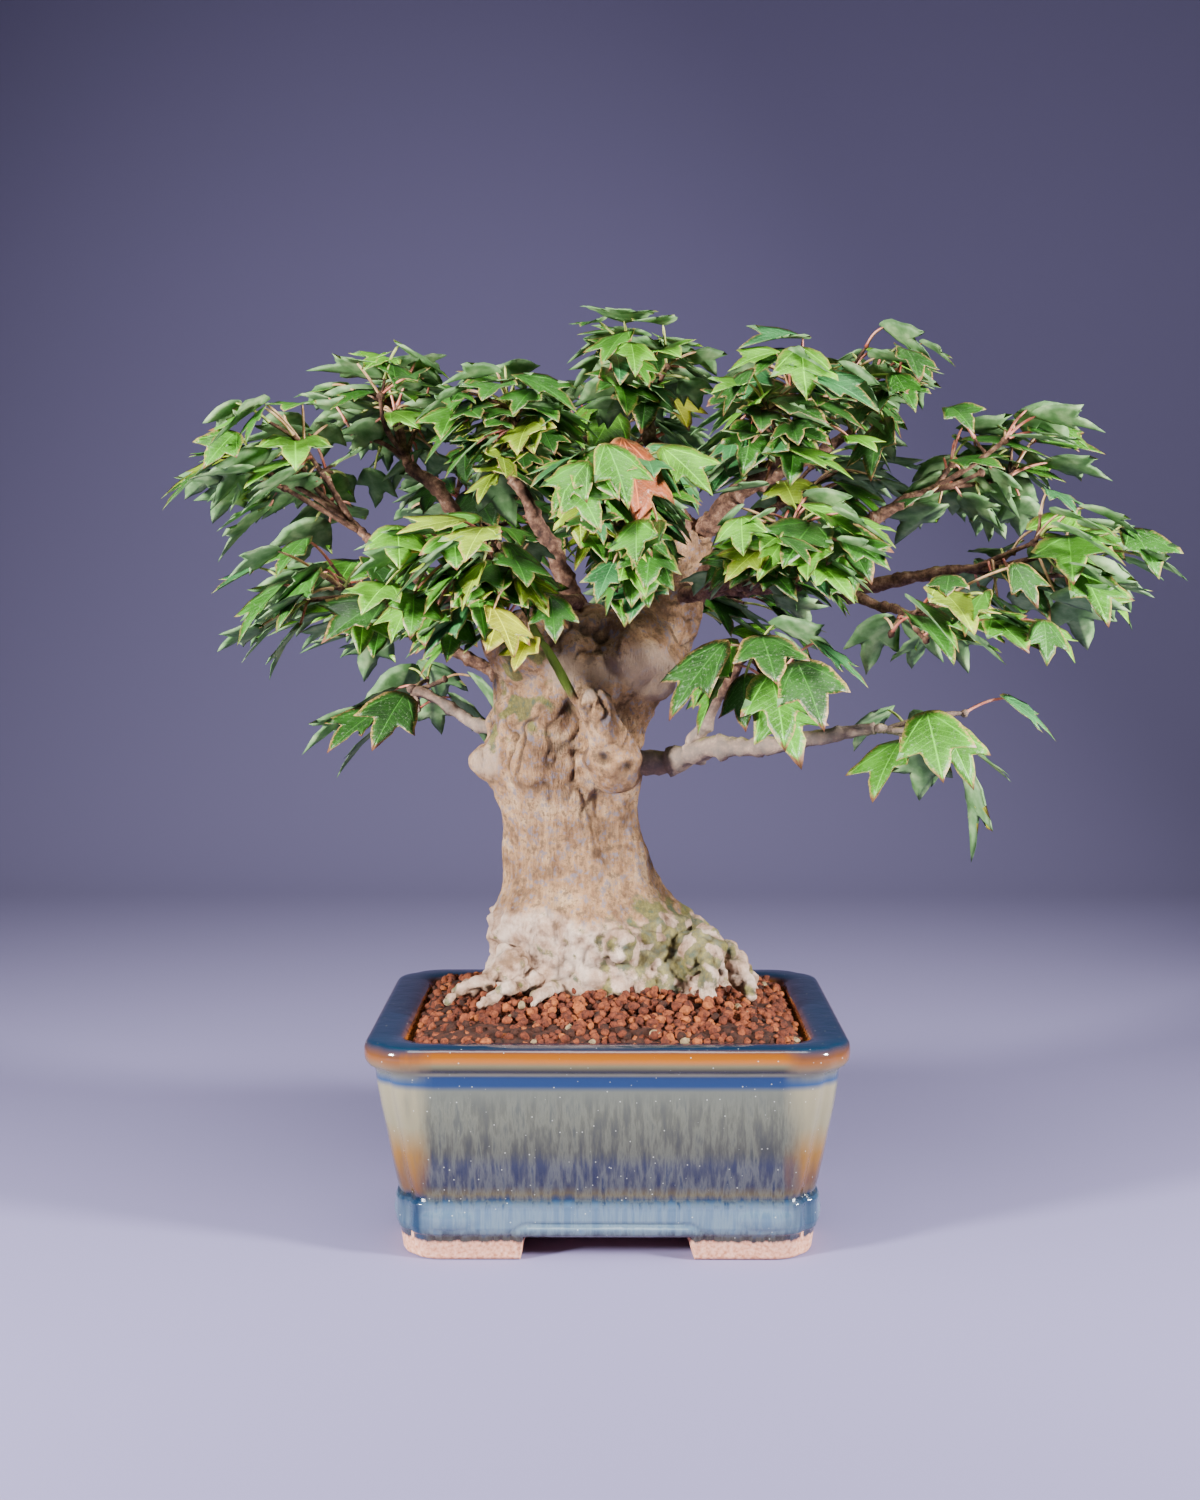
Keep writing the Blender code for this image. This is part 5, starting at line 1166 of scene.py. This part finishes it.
class Mass:
    """One mass: its stem and twigs, the leaves that found room, and small leaves among them."""

    def __init__(self, key, plans, limbs, taken):
        row = MASSES[key]
        centre, self.half, tip, self.lead_length, lead_slope, self.sprays, usual, self.most, seed = row
        self.rng = random.Random("%s %d" % (key, seed))
        self.limbs = limbs
        self.taken = taken
        self.centre = Vector(centre)
        self.own = np.array(centre, dtype=float)
        self.others = np.array([other[0] for name, other in MASSES.items() if name != key], dtype=float)
        self.usual_slope = usual
        self.lead_slope = math.radians(lead_slope)
        self.lead_bearing = math.atan2(tip[1] - centre[1], tip[0] - centre[0])
        self.lead_root = Vector(tip) - direction(self.lead_bearing, self.lead_slope) * self.lead_length
        self.leaves = []
        self.sprays_of = []
        self.trees = []
        self.spray = 0
        self.fine_twigs = []
        self.plan_stem(plans[key][0])
        self.plan_twigs()
        self.plan_leaves()

    def plan_stem(self, bough):
        """The stem, from just clear of the bough's flat tip to the hub where its twigs part."""
        heading = (bough[-1] - bough[-2]).normalized()
        self.hub = bough[-1].lerp(self.centre, HUB_SHARE) - Vector((0, 0, HUB_DROP * self.half[2]))
        lean = heading.angle(self.hub - bough[-1])
        self.foot = bough[-1] + heading * (GAP + STEM_RADIUS * math.sin(lean))

    def has_room(self, points, clearance):
        """True where the points are clear of limbs and keep to the mass's own space."""
        clear = clear_of_limbs(points, self.limbs, clearance)
        return bool((clear & in_own_space(points, self.own, self.others)).all())

    def twig_fits(self, start, end):
        """True where the outer part of a twig has room."""
        return self.has_room(np.array([start.lerp(end, t) for t in (0.3, 0.6, 1.0)]), TWIG_RADIUS)

    def plan_twigs(self):
        """The leading twig, then twigs at golden angles round the centre, wherever they fit."""
        lead = self.lead_root.lerp(self.hub, LEAD_SHARE) - Vector((0, 0, LEAD_DROP))
        self.spots = [lead]
        self.twigs = [(self.foot, self.hub, STEM_RADIUS, TWIG_RADIUS * 1.15),
                      (self.hub, lead, TWIG_RADIUS, TWIG_RADIUS * TWIG_TAPER)]
        turn = self.rng.uniform(0, 2 * math.pi)
        nearest, furthest = SPRAY_SHARES
        for k in range(self.sprays * SPRAY_TRIES):
            angle = turn + k * GOLDEN_ANGLE
            share = nearest + (furthest - nearest) * ((k * GOLDEN_SHARE) % 1.0)
            spot = self.centre + Vector((self.half[0] * share * math.cos(angle),
                                         self.half[1] * share * math.sin(angle),
                                         self.half[2] * self.rng.uniform(*SPRAY_HEIGHTS)))
            fork = self.hub.lerp(self.foot, FORK_STEP * len(self.spots))
            apart = min((spot - other).length for other in self.spots) > SPRAY_CLEARANCE
            if len(self.spots) <= self.sprays and apart and self.twig_fits(fork, spot):
                self.spots.append(spot)
                self.twigs.append((fork, spot, TWIG_RADIUS, TWIG_RADIUS * TWIG_TAPER))

    def plan_leaves(self):
        """The leaf with the furthest tip, then a fan of leaves at the end of each twig."""
        twig_trees = [BVHTree.FromPolygons(*twig_shell(*twig[:3])) for twig in self.twigs]
        lead_leaf = (self.lead_bearing, self.lead_slope, self.lead_length)
        self.try_leaf(self.spots[0], *lead_leaf, twig_trees[:1] + twig_trees[2:], self.lead_root)
        for number, spot in enumerate(self.spots):
            self.spray = number
            own_twig = number + 1
            trees = twig_trees[:own_twig] + twig_trees[own_twig + 1:]
            self.plan_fan(spot, spot - self.hub, 1 if number == 0 else 0, trees)

    def plan_fan(self, spot, way, first, trees):
        """Up to a few leaves round the end of one twig, each a step further back on it."""
        grown = 0
        for fan in FAN_BEARINGS:
            for _ in range(LEAF_TRIES):
                if grown == LEAVES_PER_SPRAY or len(self.leaves) == self.most:
                    return
                turn = self.rng.uniform(-FAN_JITTER, FAN_JITTER)
                tilt = self.rng.uniform(-FAN_JITTER, FAN_JITTER)
                bearing = math.atan2(way.y, way.x) + math.radians(fan + turn)
                slope = math.radians(self.usual_slope + tilt)
                start = spot - way.normalized() * LEAF_STEP * (first + grown)
                if self.try_leaf(start, bearing, slope, self.rng.uniform(*LEAF_LENGTHS), trees):
                    grown += 1
                    break

    def try_leaf(self, start, bearing, slope, length, twig_trees, root=None):
        """Adds a leaf where it and its stalk have room and cross nothing, and says whether."""
        roll = math.radians(self.rng.uniform(-LEAF_ROLL, LEAF_ROLL))
        stalk = self.rng.uniform(*STALK_LENGTHS)
        rise = math.radians(self.rng.uniform(*STALK_RISES))
        root = root or start + direction(bearing, rise) * stalk
        leaf = leaf_frame(root, bearing, slope, roll, length)
        stalk_samples = [np.array(start.lerp(root, t)) for t in (0.5, 0.8)]
        samples = np.vstack([leaf_samples(leaf)] + stalk_samples)
        if not self.has_room(samples, LIMB_CLEARANCE) or not self.twig_fits(start, root):
            return False
        near = [other for other in self.taken if np.abs(other[0] - samples[0]).max() < LEAF_REACH]
        if near:
            away = np.linalg.norm(np.vstack(near)[:, None] - samples[None], axis=-1)
            if away.min() < LEAF_CLEARANCE:
                return False
        tree = BVHTree.FromPolygons(*leaf_shell(start, leaf))
        if any(tree.overlap(other) for other in twig_trees + self.trees):
            return False
        self.taken.append(samples)
        self.trees.append(tree)
        self.leaves.append((start, leaf))
        self.sprays_of.append(self.spray)
        return True


def strewn(mass, rng, count, reach_out, drop):
    """Leaves at random through a mass, turned outwards, and where each one's wood starts.

    Returns the leaves' roots, ways along, across and off, and lengths, the feet of their fine
    twigs on the mass's own twigs, and the starts of their stalks.
    """
    spread = rng.normal(size=(count, 3))
    spread *= rng.uniform(0.1, 1.0, (count, 1))**0.6 / np.linalg.norm(spread, axis=1)[:, None]
    hearts = mass.own + spread * mass.half * reach_out - (0, 0, drop)
    away = hearts - np.array(mass.hub)
    bearing = np.arctan2(away[:, 1], away[:, 0]) + np.radians(rng.uniform(-FILL_TURNS, FILL_TURNS, count))
    slope = np.radians(mass.usual_slope + rng.uniform(*FILL_TILTS, count))
    roll = np.radians(rng.uniform(-FILL_ROLLS, FILL_ROLLS, count))[:, None]
    lengths = rng.uniform(*FILL_LENGTHS, count)
    along = [np.cos(bearing) * np.cos(slope), np.sin(bearing) * np.cos(slope), np.sin(slope)]
    along = np.stack(along, axis=1)
    level = np.stack([np.sin(bearing), -np.cos(bearing), np.zeros(count)], axis=1)
    across = level * np.cos(roll) + np.cross(level, along) * np.sin(roll)
    off = np.cross(across, along)
    roots = hearts - along * (lengths * HEART)[:, None]
    wood = np.array([start.lerp(end, t) for start, end, *_ in mass.twigs for t in np.linspace(0.3, 1, 12)])
    reach = np.linalg.norm(roots[:, None] - wood, axis=2)
    feet = wood[reach.argmin(axis=1)]
    stalk = np.minimum(1, rng.uniform(*FILL_STALKS, count) / reach.min(axis=1))[:, None]
    return roots, along, across, off, lengths, feet, roots + (feet - roots) * stalk


def fill_out(mass, wanted, drop, rng):
    """Adds strewn leaves that have room, keep within the plant's reach and touch no other."""
    reach_out = FILL_REACH if wanted > SPARSE_MOST else SPARSE_REACH
    roots, along, across, off, lengths, feet, starts = strewn(mass, rng, FILL_CANDIDATES, reach_out, drop)
    half = np.array(CLEAR_OUTLINE)
    rim = np.vstack([half, (half[:-1] + half[1:]) / 2, (0.84, 0.08), (1.0, 0.0)])
    rim = np.vstack([rim, rim * (1, -1)])
    shares = np.vstack([(HEART, 0.0), rim, (rim - (HEART, 0)) * 0.55 + (HEART, 0)])
    u, v = shares.T
    rise = LEAF_FOLD * np.abs(v) - LEAF_SAG * u * u
    flat = u[:, None] * along[:, None] + v[:, None] * across[:, None] + rise[:, None] * off[:, None]
    blades = roots[:, None] + flat * lengths[:, None, None]
    stalks = starts[:, None] + (roots - starts)[:, None] * np.array([0.25, 0.5, 0.75])[:, None]
    wood = feet[:, None] + (starts - feet)[:, None] * np.array([0.5, 1.0])[:, None]
    samples = np.concatenate([blades, stalks], axis=1)
    every = np.concatenate([samples, wood[:, 1:]], axis=1)
    off_limbs = clear_of_limbs(every, mass.limbs, FILL_LIMB_CLEARANCE)
    room = (off_limbs & in_own_space(every, mass.own, mass.others)).all(axis=1)
    inside = ((blades > BOX_LOW + BOX_CLEARANCE) & (blades < BOX_HIGH - BOX_CLEARANCE)).all(axis=(1, 2))
    forwards = ((roots - feet) * along).sum(axis=1) > 0
    x, y, z = blades[:, 0].T
    before_bronze = (np.abs(x - BRONZE_VIEW[0]) < BRONZE_VIEW_HALF) & (y < BRONZE_VIEW[1])
    inside &= ~(before_bronze & (z > BRONZE_VIEW[2]))
    grown = 0
    for k in np.flatnonzero(room & inside & forwards):
        if grown == wanted:
            break
        close = [other for other in mass.taken if np.abs(other[0] - samples[k, 0]).max() < 55.0]
        gaps = np.linalg.norm(np.vstack(close)[:, None] - samples[k], axis=-1)
        if gaps.min() > FILL_CLEARANCE:
            mass.taken.append(samples[k])
            leaf = (Vector(roots[k]), Vector(along[k]), Vector(across[k]), Vector(off[k]), lengths[k])
            mass.leaves.append((Vector(starts[k]), leaf))
            mass.sprays_of.append(int(np.argmin([(Vector(feet[k]) - spot).length for spot in mass.spots])))
            if np.linalg.norm(starts[k] - feet[k]) > 0.5:
                fine = (Vector(feet[k]), Vector(starts[k]), TWIG_RADIUS * 0.62, TWIG_RADIUS * 0.5)
                mass.fine_twigs.append(fine)
            grown += 1


limbs = limb_table(bough_plans)
taken = []
masses = {key: Mass(key, bough_plans, limbs, taken) for key in MASSES}
fill_rng = np.random.default_rng(5)
for key, mass in masses.items():
    fill_out(mass, FILLS[key], FILL_DROPS.get(key, 0.0), fill_rng)

# Blade outline of a trident maple leaf, read from the stalk to the tip: a rounded foot, a side
# lobe that points forwards, a sharp bay, and the middle lobe.
OUTLINE = np.array([
    (0.0, 0.02), (0.05, 0.13), (0.15, 0.235), (0.30, 0.305), (0.45, 0.35), (0.58, 0.395), (0.685, 0.425),
    (0.655, 0.33), (0.62, 0.25), (0.60, 0.175), (0.645, 0.155), (0.735, 0.145), (0.83, 0.10), (0.92, 0.045),
    (1.0, 0.0)])
BLADE_RINGS = (0.34, 0.68, 1.0)
BLADE_THICKNESS = 0.35

all_leaves = [(key, spray, start, leaf) for key, mass in masses.items()
              for spray, (start, leaf) in zip(mass.sprays_of, mass.leaves)]
starts = np.array([start for _, _, start, _ in all_leaves])
roots = np.array([leaf[0] for *_, leaf in all_leaves])
alongs = np.array([leaf[1] for *_, leaf in all_leaves])
acrosses = np.array([leaf[2] for *_, leaf in all_leaves])
offs = np.array([leaf[3] for *_, leaf in all_leaves])
lengths = np.array([leaf[4] for *_, leaf in all_leaves])
leaf_rng = np.random.default_rng(77)


def blades():
    """Every blade at once: rings from the heart to the outline, on top and underneath.

    Off the plane, a point rises by the fold times its distance from the midrib and falls by
    the sag times its distance along squared; the edge waves a little.
    """
    count = len(all_leaves)
    half = OUTLINE[1:-1]
    rim = np.vstack([OUTLINE[:1], half, OUTLINE[-1:], (half * (1, -1))[::-1], OUTLINE[:1] * (1, -1)])
    m = len(rim)
    lobe = leaf_rng.uniform(0.90, 1.03, (count, 1))
    bay = leaf_rng.uniform(0.93, 1.07, (count, 1))
    teeth = leaf_rng.uniform(-0.012, 0.012, (count, m))
    u = rim[None, :, 0] + 0 * lobe
    v = rim[None, :, 1] * lobe
    in_bay = np.exp(-((rim[:, 0] - 0.61) / 0.05)**2) * (np.abs(rim[:, 1]) < 0.27)
    u = u * (1 + (bay - 1) * in_bay)
    sharp = (np.abs(rim[:, 1]) > 0.01)
    v = v + teeth * sharp * np.sign(rim[:, 1])
    layers = []
    for share in BLADE_RINGS:
        layers.append((HEART + (u - HEART) * share, v * share))
    fold = leaf_rng.uniform(0.10, 0.26, (count, 1))
    sag = leaf_rng.uniform(0.12, 0.30, (count, 1))
    curl = leaf_rng.uniform(-0.10, 0.16, (count, 1))
    wave_size = leaf_rng.uniform(0.004, 0.016, (count, 1))
    wave_turn = leaf_rng.uniform(0, 6.28, (count, 1))

    def rise(u, v):
        wave = wave_size * np.sin(22 * u + 9 * np.abs(v) + wave_turn) * (np.abs(v) * 3)
        return fold * np.abs(v) - sag * u * u - curl * v * v * 2.2 + wave

    def place(u, v, lift):
        level = (rise(u, v) * lengths[:, None] + lift)[..., None] * offs[:, None]
        flat = (u[..., None] * alongs[:, None] + v[..., None] * acrosses[:, None]) * lengths[:, None, None]
        return roots[:, None] + flat + level

    heart_u, heart_v = np.full((count, 1), HEART), np.zeros((count, 1))
    top = [place(heart_u, heart_v, 0.0)] + [place(lu, lv, 0.0) for lu, lv in layers]
    low = [place(heart_u, heart_v, -BLADE_THICKNESS), place(*layers[1], -BLADE_THICKNESS)]
    points = np.concatenate(top + low, axis=1)
    k = np.arange(m)
    after = (k + 1) % m
    one, two, edge = 1, 1 + m, 1 + 2 * m
    under = 1 + 3 * m
    under_two = under + 1
    fans = [np.stack([np.zeros(m, int), one + after, one + k], axis=1)]
    quads = [np.stack([one + k, one + after, two + after, two + k], axis=1),
             np.stack([two + k, two + after, edge + after, edge + k], axis=1)]
    under_fans = [np.stack([np.full(m, under), under_two + k, under_two + after], axis=1)]
    under_quads = [np.stack([under_two + after, under_two + k, edge + k, edge + after], axis=1)]
    faces = fans + quads + under_fans + under_quads
    top_faces = (True, True, True, False, False)
    shares = [(heart_u, heart_v)] + layers + [(heart_u, heart_v), layers[1]]
    leaf_u = np.concatenate([part[0] + 0 * lobe for part in shares], axis=1)
    leaf_v = np.concatenate([part[1] + 0 * lobe for part in shares], axis=1)
    steps = (np.arange(count) * points.shape[1])[:, None, None]
    laid = [(part[None] + steps).reshape(-1, part.shape[1]) for part in faces]
    return points.reshape(-1, 3), laid, top_faces, np.stack([leaf_u, leaf_v], axis=2).reshape(-1, 2)


blade_points, blade_faces, blade_tops, blade_uv = blades()


# Maple leaf: a thin waxy blade, dusted white with dried hard water round its veins, which are
# paler than the blade. Its edge dries tan, and the tips of the oldest are dead and brown.
def leaf_top(name, shade, edge, dead):
    """The upper face of a leaf in one shade, with its veins, dust, dry edge and dead tips."""
    made, tree, shader, place = finish_named(name, Roughness=0.40, Specular_IOR_Level=0.4)
    uv = add(tree, "UVMap", uv_map="blade").outputs["UV"]
    split = add(tree, "SeparateXYZ", {"Vector": uv})
    u = split.outputs["X"]
    v = add(tree, "Math", {0: split.outputs["Y"], 1: 0.5}, operation="SUBTRACT").outputs[0]
    side = add(tree, "Math", {0: v}, operation="ABSOLUTE").outputs[0]
    lobe_line = add(tree, "Math", {0: u, 1: 0.60}, operation="MULTIPLY").outputs[0]
    lobe_gap = add(tree, "Math", {0: side, 1: lobe_line}, operation="SUBTRACT").outputs[0]
    lobe_gap = add(tree, "Math", {0: lobe_gap}, operation="ABSOLUTE").outputs[0]
    nearest = add(tree, "Math", {0: side, 1: lobe_gap}, operation="MINIMUM").outputs[0]
    vein = add(tree, "MapRange", {"Value": nearest, "From Min": 0.003, "From Max": 0.013,
                                  "To Min": 1.0, "To Max": 0.0}).outputs[0]
    slant = add(tree, "Math", {0: side, 1: -0.75, 2: u}, operation="MULTIPLY_ADD").outputs[0]
    ribs = add(tree, "Math", {0: slant, 1: 75.0}, operation="MULTIPLY").outputs[0]
    ribs = add(tree, "Math", {0: ribs}, operation="SINE").outputs[0]
    ribs = add(tree, "MapRange", {"Value": ribs, "From Min": 0.86, "From Max": 1.0,
                                  "To Max": 0.45}).outputs[0]
    net = add(tree, "TexVoronoi", {"Vector": uv, "Scale": 34.0}, feature="DISTANCE_TO_EDGE")
    net_line = add(tree, "MapRange", {"Value": net.outputs["Distance"], "From Min": 0.0, "From Max": 0.07,
                                      "To Min": 0.28, "To Max": 0.0}).outputs[0]
    veins = add(tree, "Math", {0: vein, 1: ribs}, operation="MAXIMUM").outputs[0]
    veins = add(tree, "Math", {0: veins, 1: net_line}, operation="MAXIMUM").outputs[0]
    patch = add(tree, "TexNoise", {"Vector": place, "Scale": 0.10, "Detail": 4.0})
    tone = add(tree, "ValToRGB", {"Fac": patch.outputs["Fac"]}, stops=(
        (0.34, colour(shade, 0.45)), (0.50, colour(shade, 0.8)), (0.66, colour(shade, 1.2))))
    veined = add(tree, "MixRGB", {"Fac": veins, "Color1": tone.outputs["Color"],
                                  "Color2": colour(shade, 2.1)})
    dust_map = add(tree, "TexNoise", {"Vector": place, "Scale": 1.1, "Detail": 4.0,
                                      "Roughness": 0.75})
    dust = add(tree, "MapRange", {"Value": dust_map.outputs["Fac"], "From Min": 0.56, "From Max": 0.74,
                                  "To Max": 0.42}).outputs[0]
    dusty = add(tree, "MixRGB", {"Fac": dust, "Color1": veined.outputs["Color"], "Color2": colour("b4c4a6")})
    rim = add(tree, "Attribute", attribute_name="rim").outputs["Fac"]
    ragged = add(tree, "Math", {0: dust_map.outputs["Fac"], 1: 0.55, 2: rim},
                 operation="MULTIPLY_ADD").outputs[0]
    dry = add(tree, "MapRange", {"Value": ragged, "From Min": 1.16, "From Max": 1.27,
                                 "To Max": edge}).outputs[0]
    edged = add(tree, "MixRGB", {"Fac": dry, "Color1": dusty.outputs["Color"], "Color2": colour("c79a5e")})
    reach = add(tree, "Math", {0: side, 1: 0.75, 2: u}, operation="MULTIPLY_ADD").outputs[0]
    reach = add(tree, "Math", {0: patch.outputs["Fac"], 1: 0.35, 2: reach},
                operation="MULTIPLY_ADD").outputs[0]
    burnt = add(tree, "MapRange", {"Value": reach, "From Min": 1.09, "From Max": 1.14,
                                   "To Max": dead}).outputs[0]
    worn = add(tree, "MixRGB", {"Fac": burnt, "Color1": edged.outputs["Color"], "Color2": colour("7b4a35")})
    tree.links.new(worn.outputs["Color"], shader.inputs["Base Color"])
    bump = add(tree, "Bump", {"Height": veins, "Strength": 0.35, "Distance": 0.0004})
    tree.links.new(bump.outputs["Normal"], shader.inputs["Normal"])
    return made


LEAF_SHADES = (
    ("deep_green_maple_leaf", "33681c", 0.45, 0.0), ("green_maple_leaf", "488420", 0.6, 0.9),
    ("bright_maple_leaf", "5d9c20", 0.4, 0.0), ("blue_green_maple_leaf", "38743e", 0.6, 0.0),
    ("yellow_green_maple_leaf", "829c1c", 0.7, 0.0), ("lime_maple_leaf", "a3a71c", 0.6, 0.9),
    ("bronze_maple_leaf", "9a4f2a", 0.4, 0.6), ("dark_maple_leaf", "2a541a", 0.7, 0.9),
)
leaf_finishes = [leaf_top(*shade) for shade in LEAF_SHADES]
# Underside of a leaf: paler and duller than the top.
under_leaf, tree, shader, place = finish_named("maple_leaf_underside", Roughness=0.62, Specular_IOR_Level=0.3)
haze = add(tree, "TexNoise", {"Vector": place, "Scale": 0.2, "Detail": 4.0})
pale = add(tree, "ValToRGB", {"Fac": haze.outputs["Fac"]}, stops=(
    (0.35, colour("456a38")), (0.5, colour("5f8250")), (0.66, colour("839d6a"))))
tree.links.new(pale.outputs["Color"], shader.inputs["Base Color"])

deal_rng = random.Random("tints")
spray_tints = {}
tints = []
for key, spray, _, _ in all_leaves:
    if (key, spray) not in spray_tints:
        spray_tints[key, spray] = deal_rng.choices(range(8), (24, 22, 18, 12, 5, 1, 0, 18))[0]
    own = deal_rng.choices(range(8), (24, 22, 18, 12, 5, 1, 0, 18))[0]
    tints.append(spray_tints[key, spray] if deal_rng.random() < 0.6 else own)
tints = np.array(tints)
# A young bronze leaf hangs in front, and the lowest and some of the topmost leaves have yellowed.
LEAD_TINTS = {"front": 6, "low_right": 5, "left_hanging": 2, "upper_left": 5, "top": 0, "far_right": 2}
firsts = np.cumsum([0] + [len(mass.leaves) for mass in masses.values()])
for first, key in zip(firsts, masses):
    if key in LEAD_TINTS:
        tints[first] = LEAD_TINTS[key]
slots = [np.repeat(tints, len(part) // len(tints)) if top else np.full(len(part), len(LEAF_SHADES))
         for part, top in zip(blade_faces, blade_tops)]
leaves = piece_from("maple_leaves", blade_points, blade_faces, leaf_finishes + [under_leaf],
                    np.concatenate(slots))
corner_points = np.empty(len(leaves.data.loops), np.int32)
leaves.data.loops.foreach_get("vertex_index", corner_points)
blade_map = leaves.data.uv_layers.new(name="blade")
blade_map.data.foreach_set("uv", (blade_uv + (0.0, 0.5))[corner_points].astype(np.float32).ravel())
per_leaf = len(blade_points) // len(tints)
ring_points = (per_leaf - 2) // 4
rim_share = np.concatenate([[0.0], *[np.full(ring_points, share) for share in BLADE_RINGS], [0.0],
                            np.full(ring_points, BLADE_RINGS[1])])
rim = leaves.data.attributes.new("rim", "FLOAT", "POINT")
rim.data.foreach_set("value", np.tile(rim_share, len(tints)).astype(np.float32))
is_under = np.concatenate([np.full(part.size, not top) for part, top in zip(blade_faces, blade_tops)])
cells = math.ceil(math.sqrt(2 * len(tints)))
cell = corner_points // per_leaf * 2 + is_under
cell_at = np.stack([cell % cells, cell // cells], axis=1)
atlas = leaves.data.uv_layers.new(name="OFBake")
inside = (blade_uv * (0.92, 0.92) + (0.04, 0.5))[corner_points]
atlas.data.foreach_set("uv", ((cell_at + inside) / cells).astype(np.float32).ravel())
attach(leaves, "root")
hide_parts(*["leaves_" + key for key in MASSES])

# Leaf stalks: thin and springy, pink, tan or yellow-green, each running into its leaf's midrib.
STALK_RINGS = 9
t = np.linspace(0, 1, STALK_RINGS)[None, :, None]
ends = roots + alongs * lengths[:, None] * 0.08 + offs * (-0.15)
bend = (starts + roots) / 2 + np.array([0, 0, 1.0]) * (lengths[:, None] * 0.06)
stalk_paths = ((1 - t)**2 * starts[:, None] + 2 * t * (1 - t) * bend[:, None] + t**2 * ends[:, None])
stalk_widths = np.broadcast_to(np.interp(t[0, :, 0], (0, 0.12, 0.9, 1), (0.75, 0.46, 0.42, 0.2)),
                               (len(starts), STALK_RINGS))
stalk_points, stalk_faces = tubes(stalk_paths, stalk_widths, 6)


# Leaf stalk: smooth living skin with a soft shine.
def stalk_skin(name, dark, light):
    """A stalk's finish between two shades along its length."""
    made, tree, shader, place = finish_named(name, Roughness=0.45)
    shift = add(tree, "TexNoise", {"Vector": place, "Scale": 0.25, "Detail": 3.0})
    shades = add(tree, "ValToRGB", {"Fac": shift.outputs["Fac"]}, stops=(
        (0.38, colour(dark)), (0.60, colour(light))))
    tree.links.new(shades.outputs["Color"], shader.inputs["Base Color"])
    return made


STALKS = (stalk_skin("pink_leaf_stalk", "a8503f", "d08a72"), stalk_skin("tan_leaf_stalk", "9a7048", "cda577"),
          stalk_skin("green_leaf_stalk", "7f8f3a", "b9bd6a"))
stalk_deal = np.random.default_rng(78).choice(3, len(starts), p=(0.42, 0.30, 0.28))
stalk_slots = np.concatenate([np.repeat(stalk_deal, len(part) // len(starts)) for part in stalk_faces])
stalks = piece_from("leaf_stalks", stalk_points, stalk_faces, STALKS, stalk_slots)
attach(stalks, "root")

# Twigs: the last two years' growth, thin and brown, with a cluster of bud scales at each fork
# and tip.
TWIG_RINGS = 14
all_twigs = [twig for mass in masses.values() for twig in mass.twigs + mass.fine_twigs]
twig_starts = np.array([twig[0] for twig in all_twigs])
twig_ends = np.array([twig[1] for twig in all_twigs])
twig_radii = np.array([twig[2:] for twig in all_twigs])
t = np.linspace(0, 1, TWIG_RINGS)[None, :, None]
twig_rng = np.random.default_rng(79)
twig_lengths = np.linalg.norm(twig_ends - twig_starts, axis=1)[:, None, None]
sway = twig_rng.normal(size=(len(all_twigs), 1, 3)) * twig_lengths
twig_paths = twig_starts[:, None] * (1 - t) + twig_ends[:, None] * t + sway * 0.035 * np.sin(math.pi * t)
twig_widths = twig_radii[:, :1] * (1 - t[..., 0]) + twig_radii[:, 1:] * t[..., 0]
twig_widths = twig_widths * (1 + 0.16 * twig_rng.uniform(-1, 1, twig_widths.shape))
stems = tubes(twig_paths, twig_widths, 8)
joins = np.array([mass.foot for mass in masses.values()])
tips = np.array([point for mass in masses.values() for point in mass.spots + [mass.hub]])
bud_at = np.concatenate([tips, joins])
bud_size = np.concatenate([np.full(len(tips), 1.25), np.full(len(joins), 1.7)])
bud_sizes = bud_size[:, None] * twig_rng.uniform(0.75, 1.25, (len(bud_at), 3))
buds = repeated(ball(9, 5), random_turns(twig_rng, len(bud_at)), bud_sizes, bud_at, 0.14, 80)
twigs = piece_from("twigs", *joined([stems, buds]), [young_bark])
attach(twigs, "root")
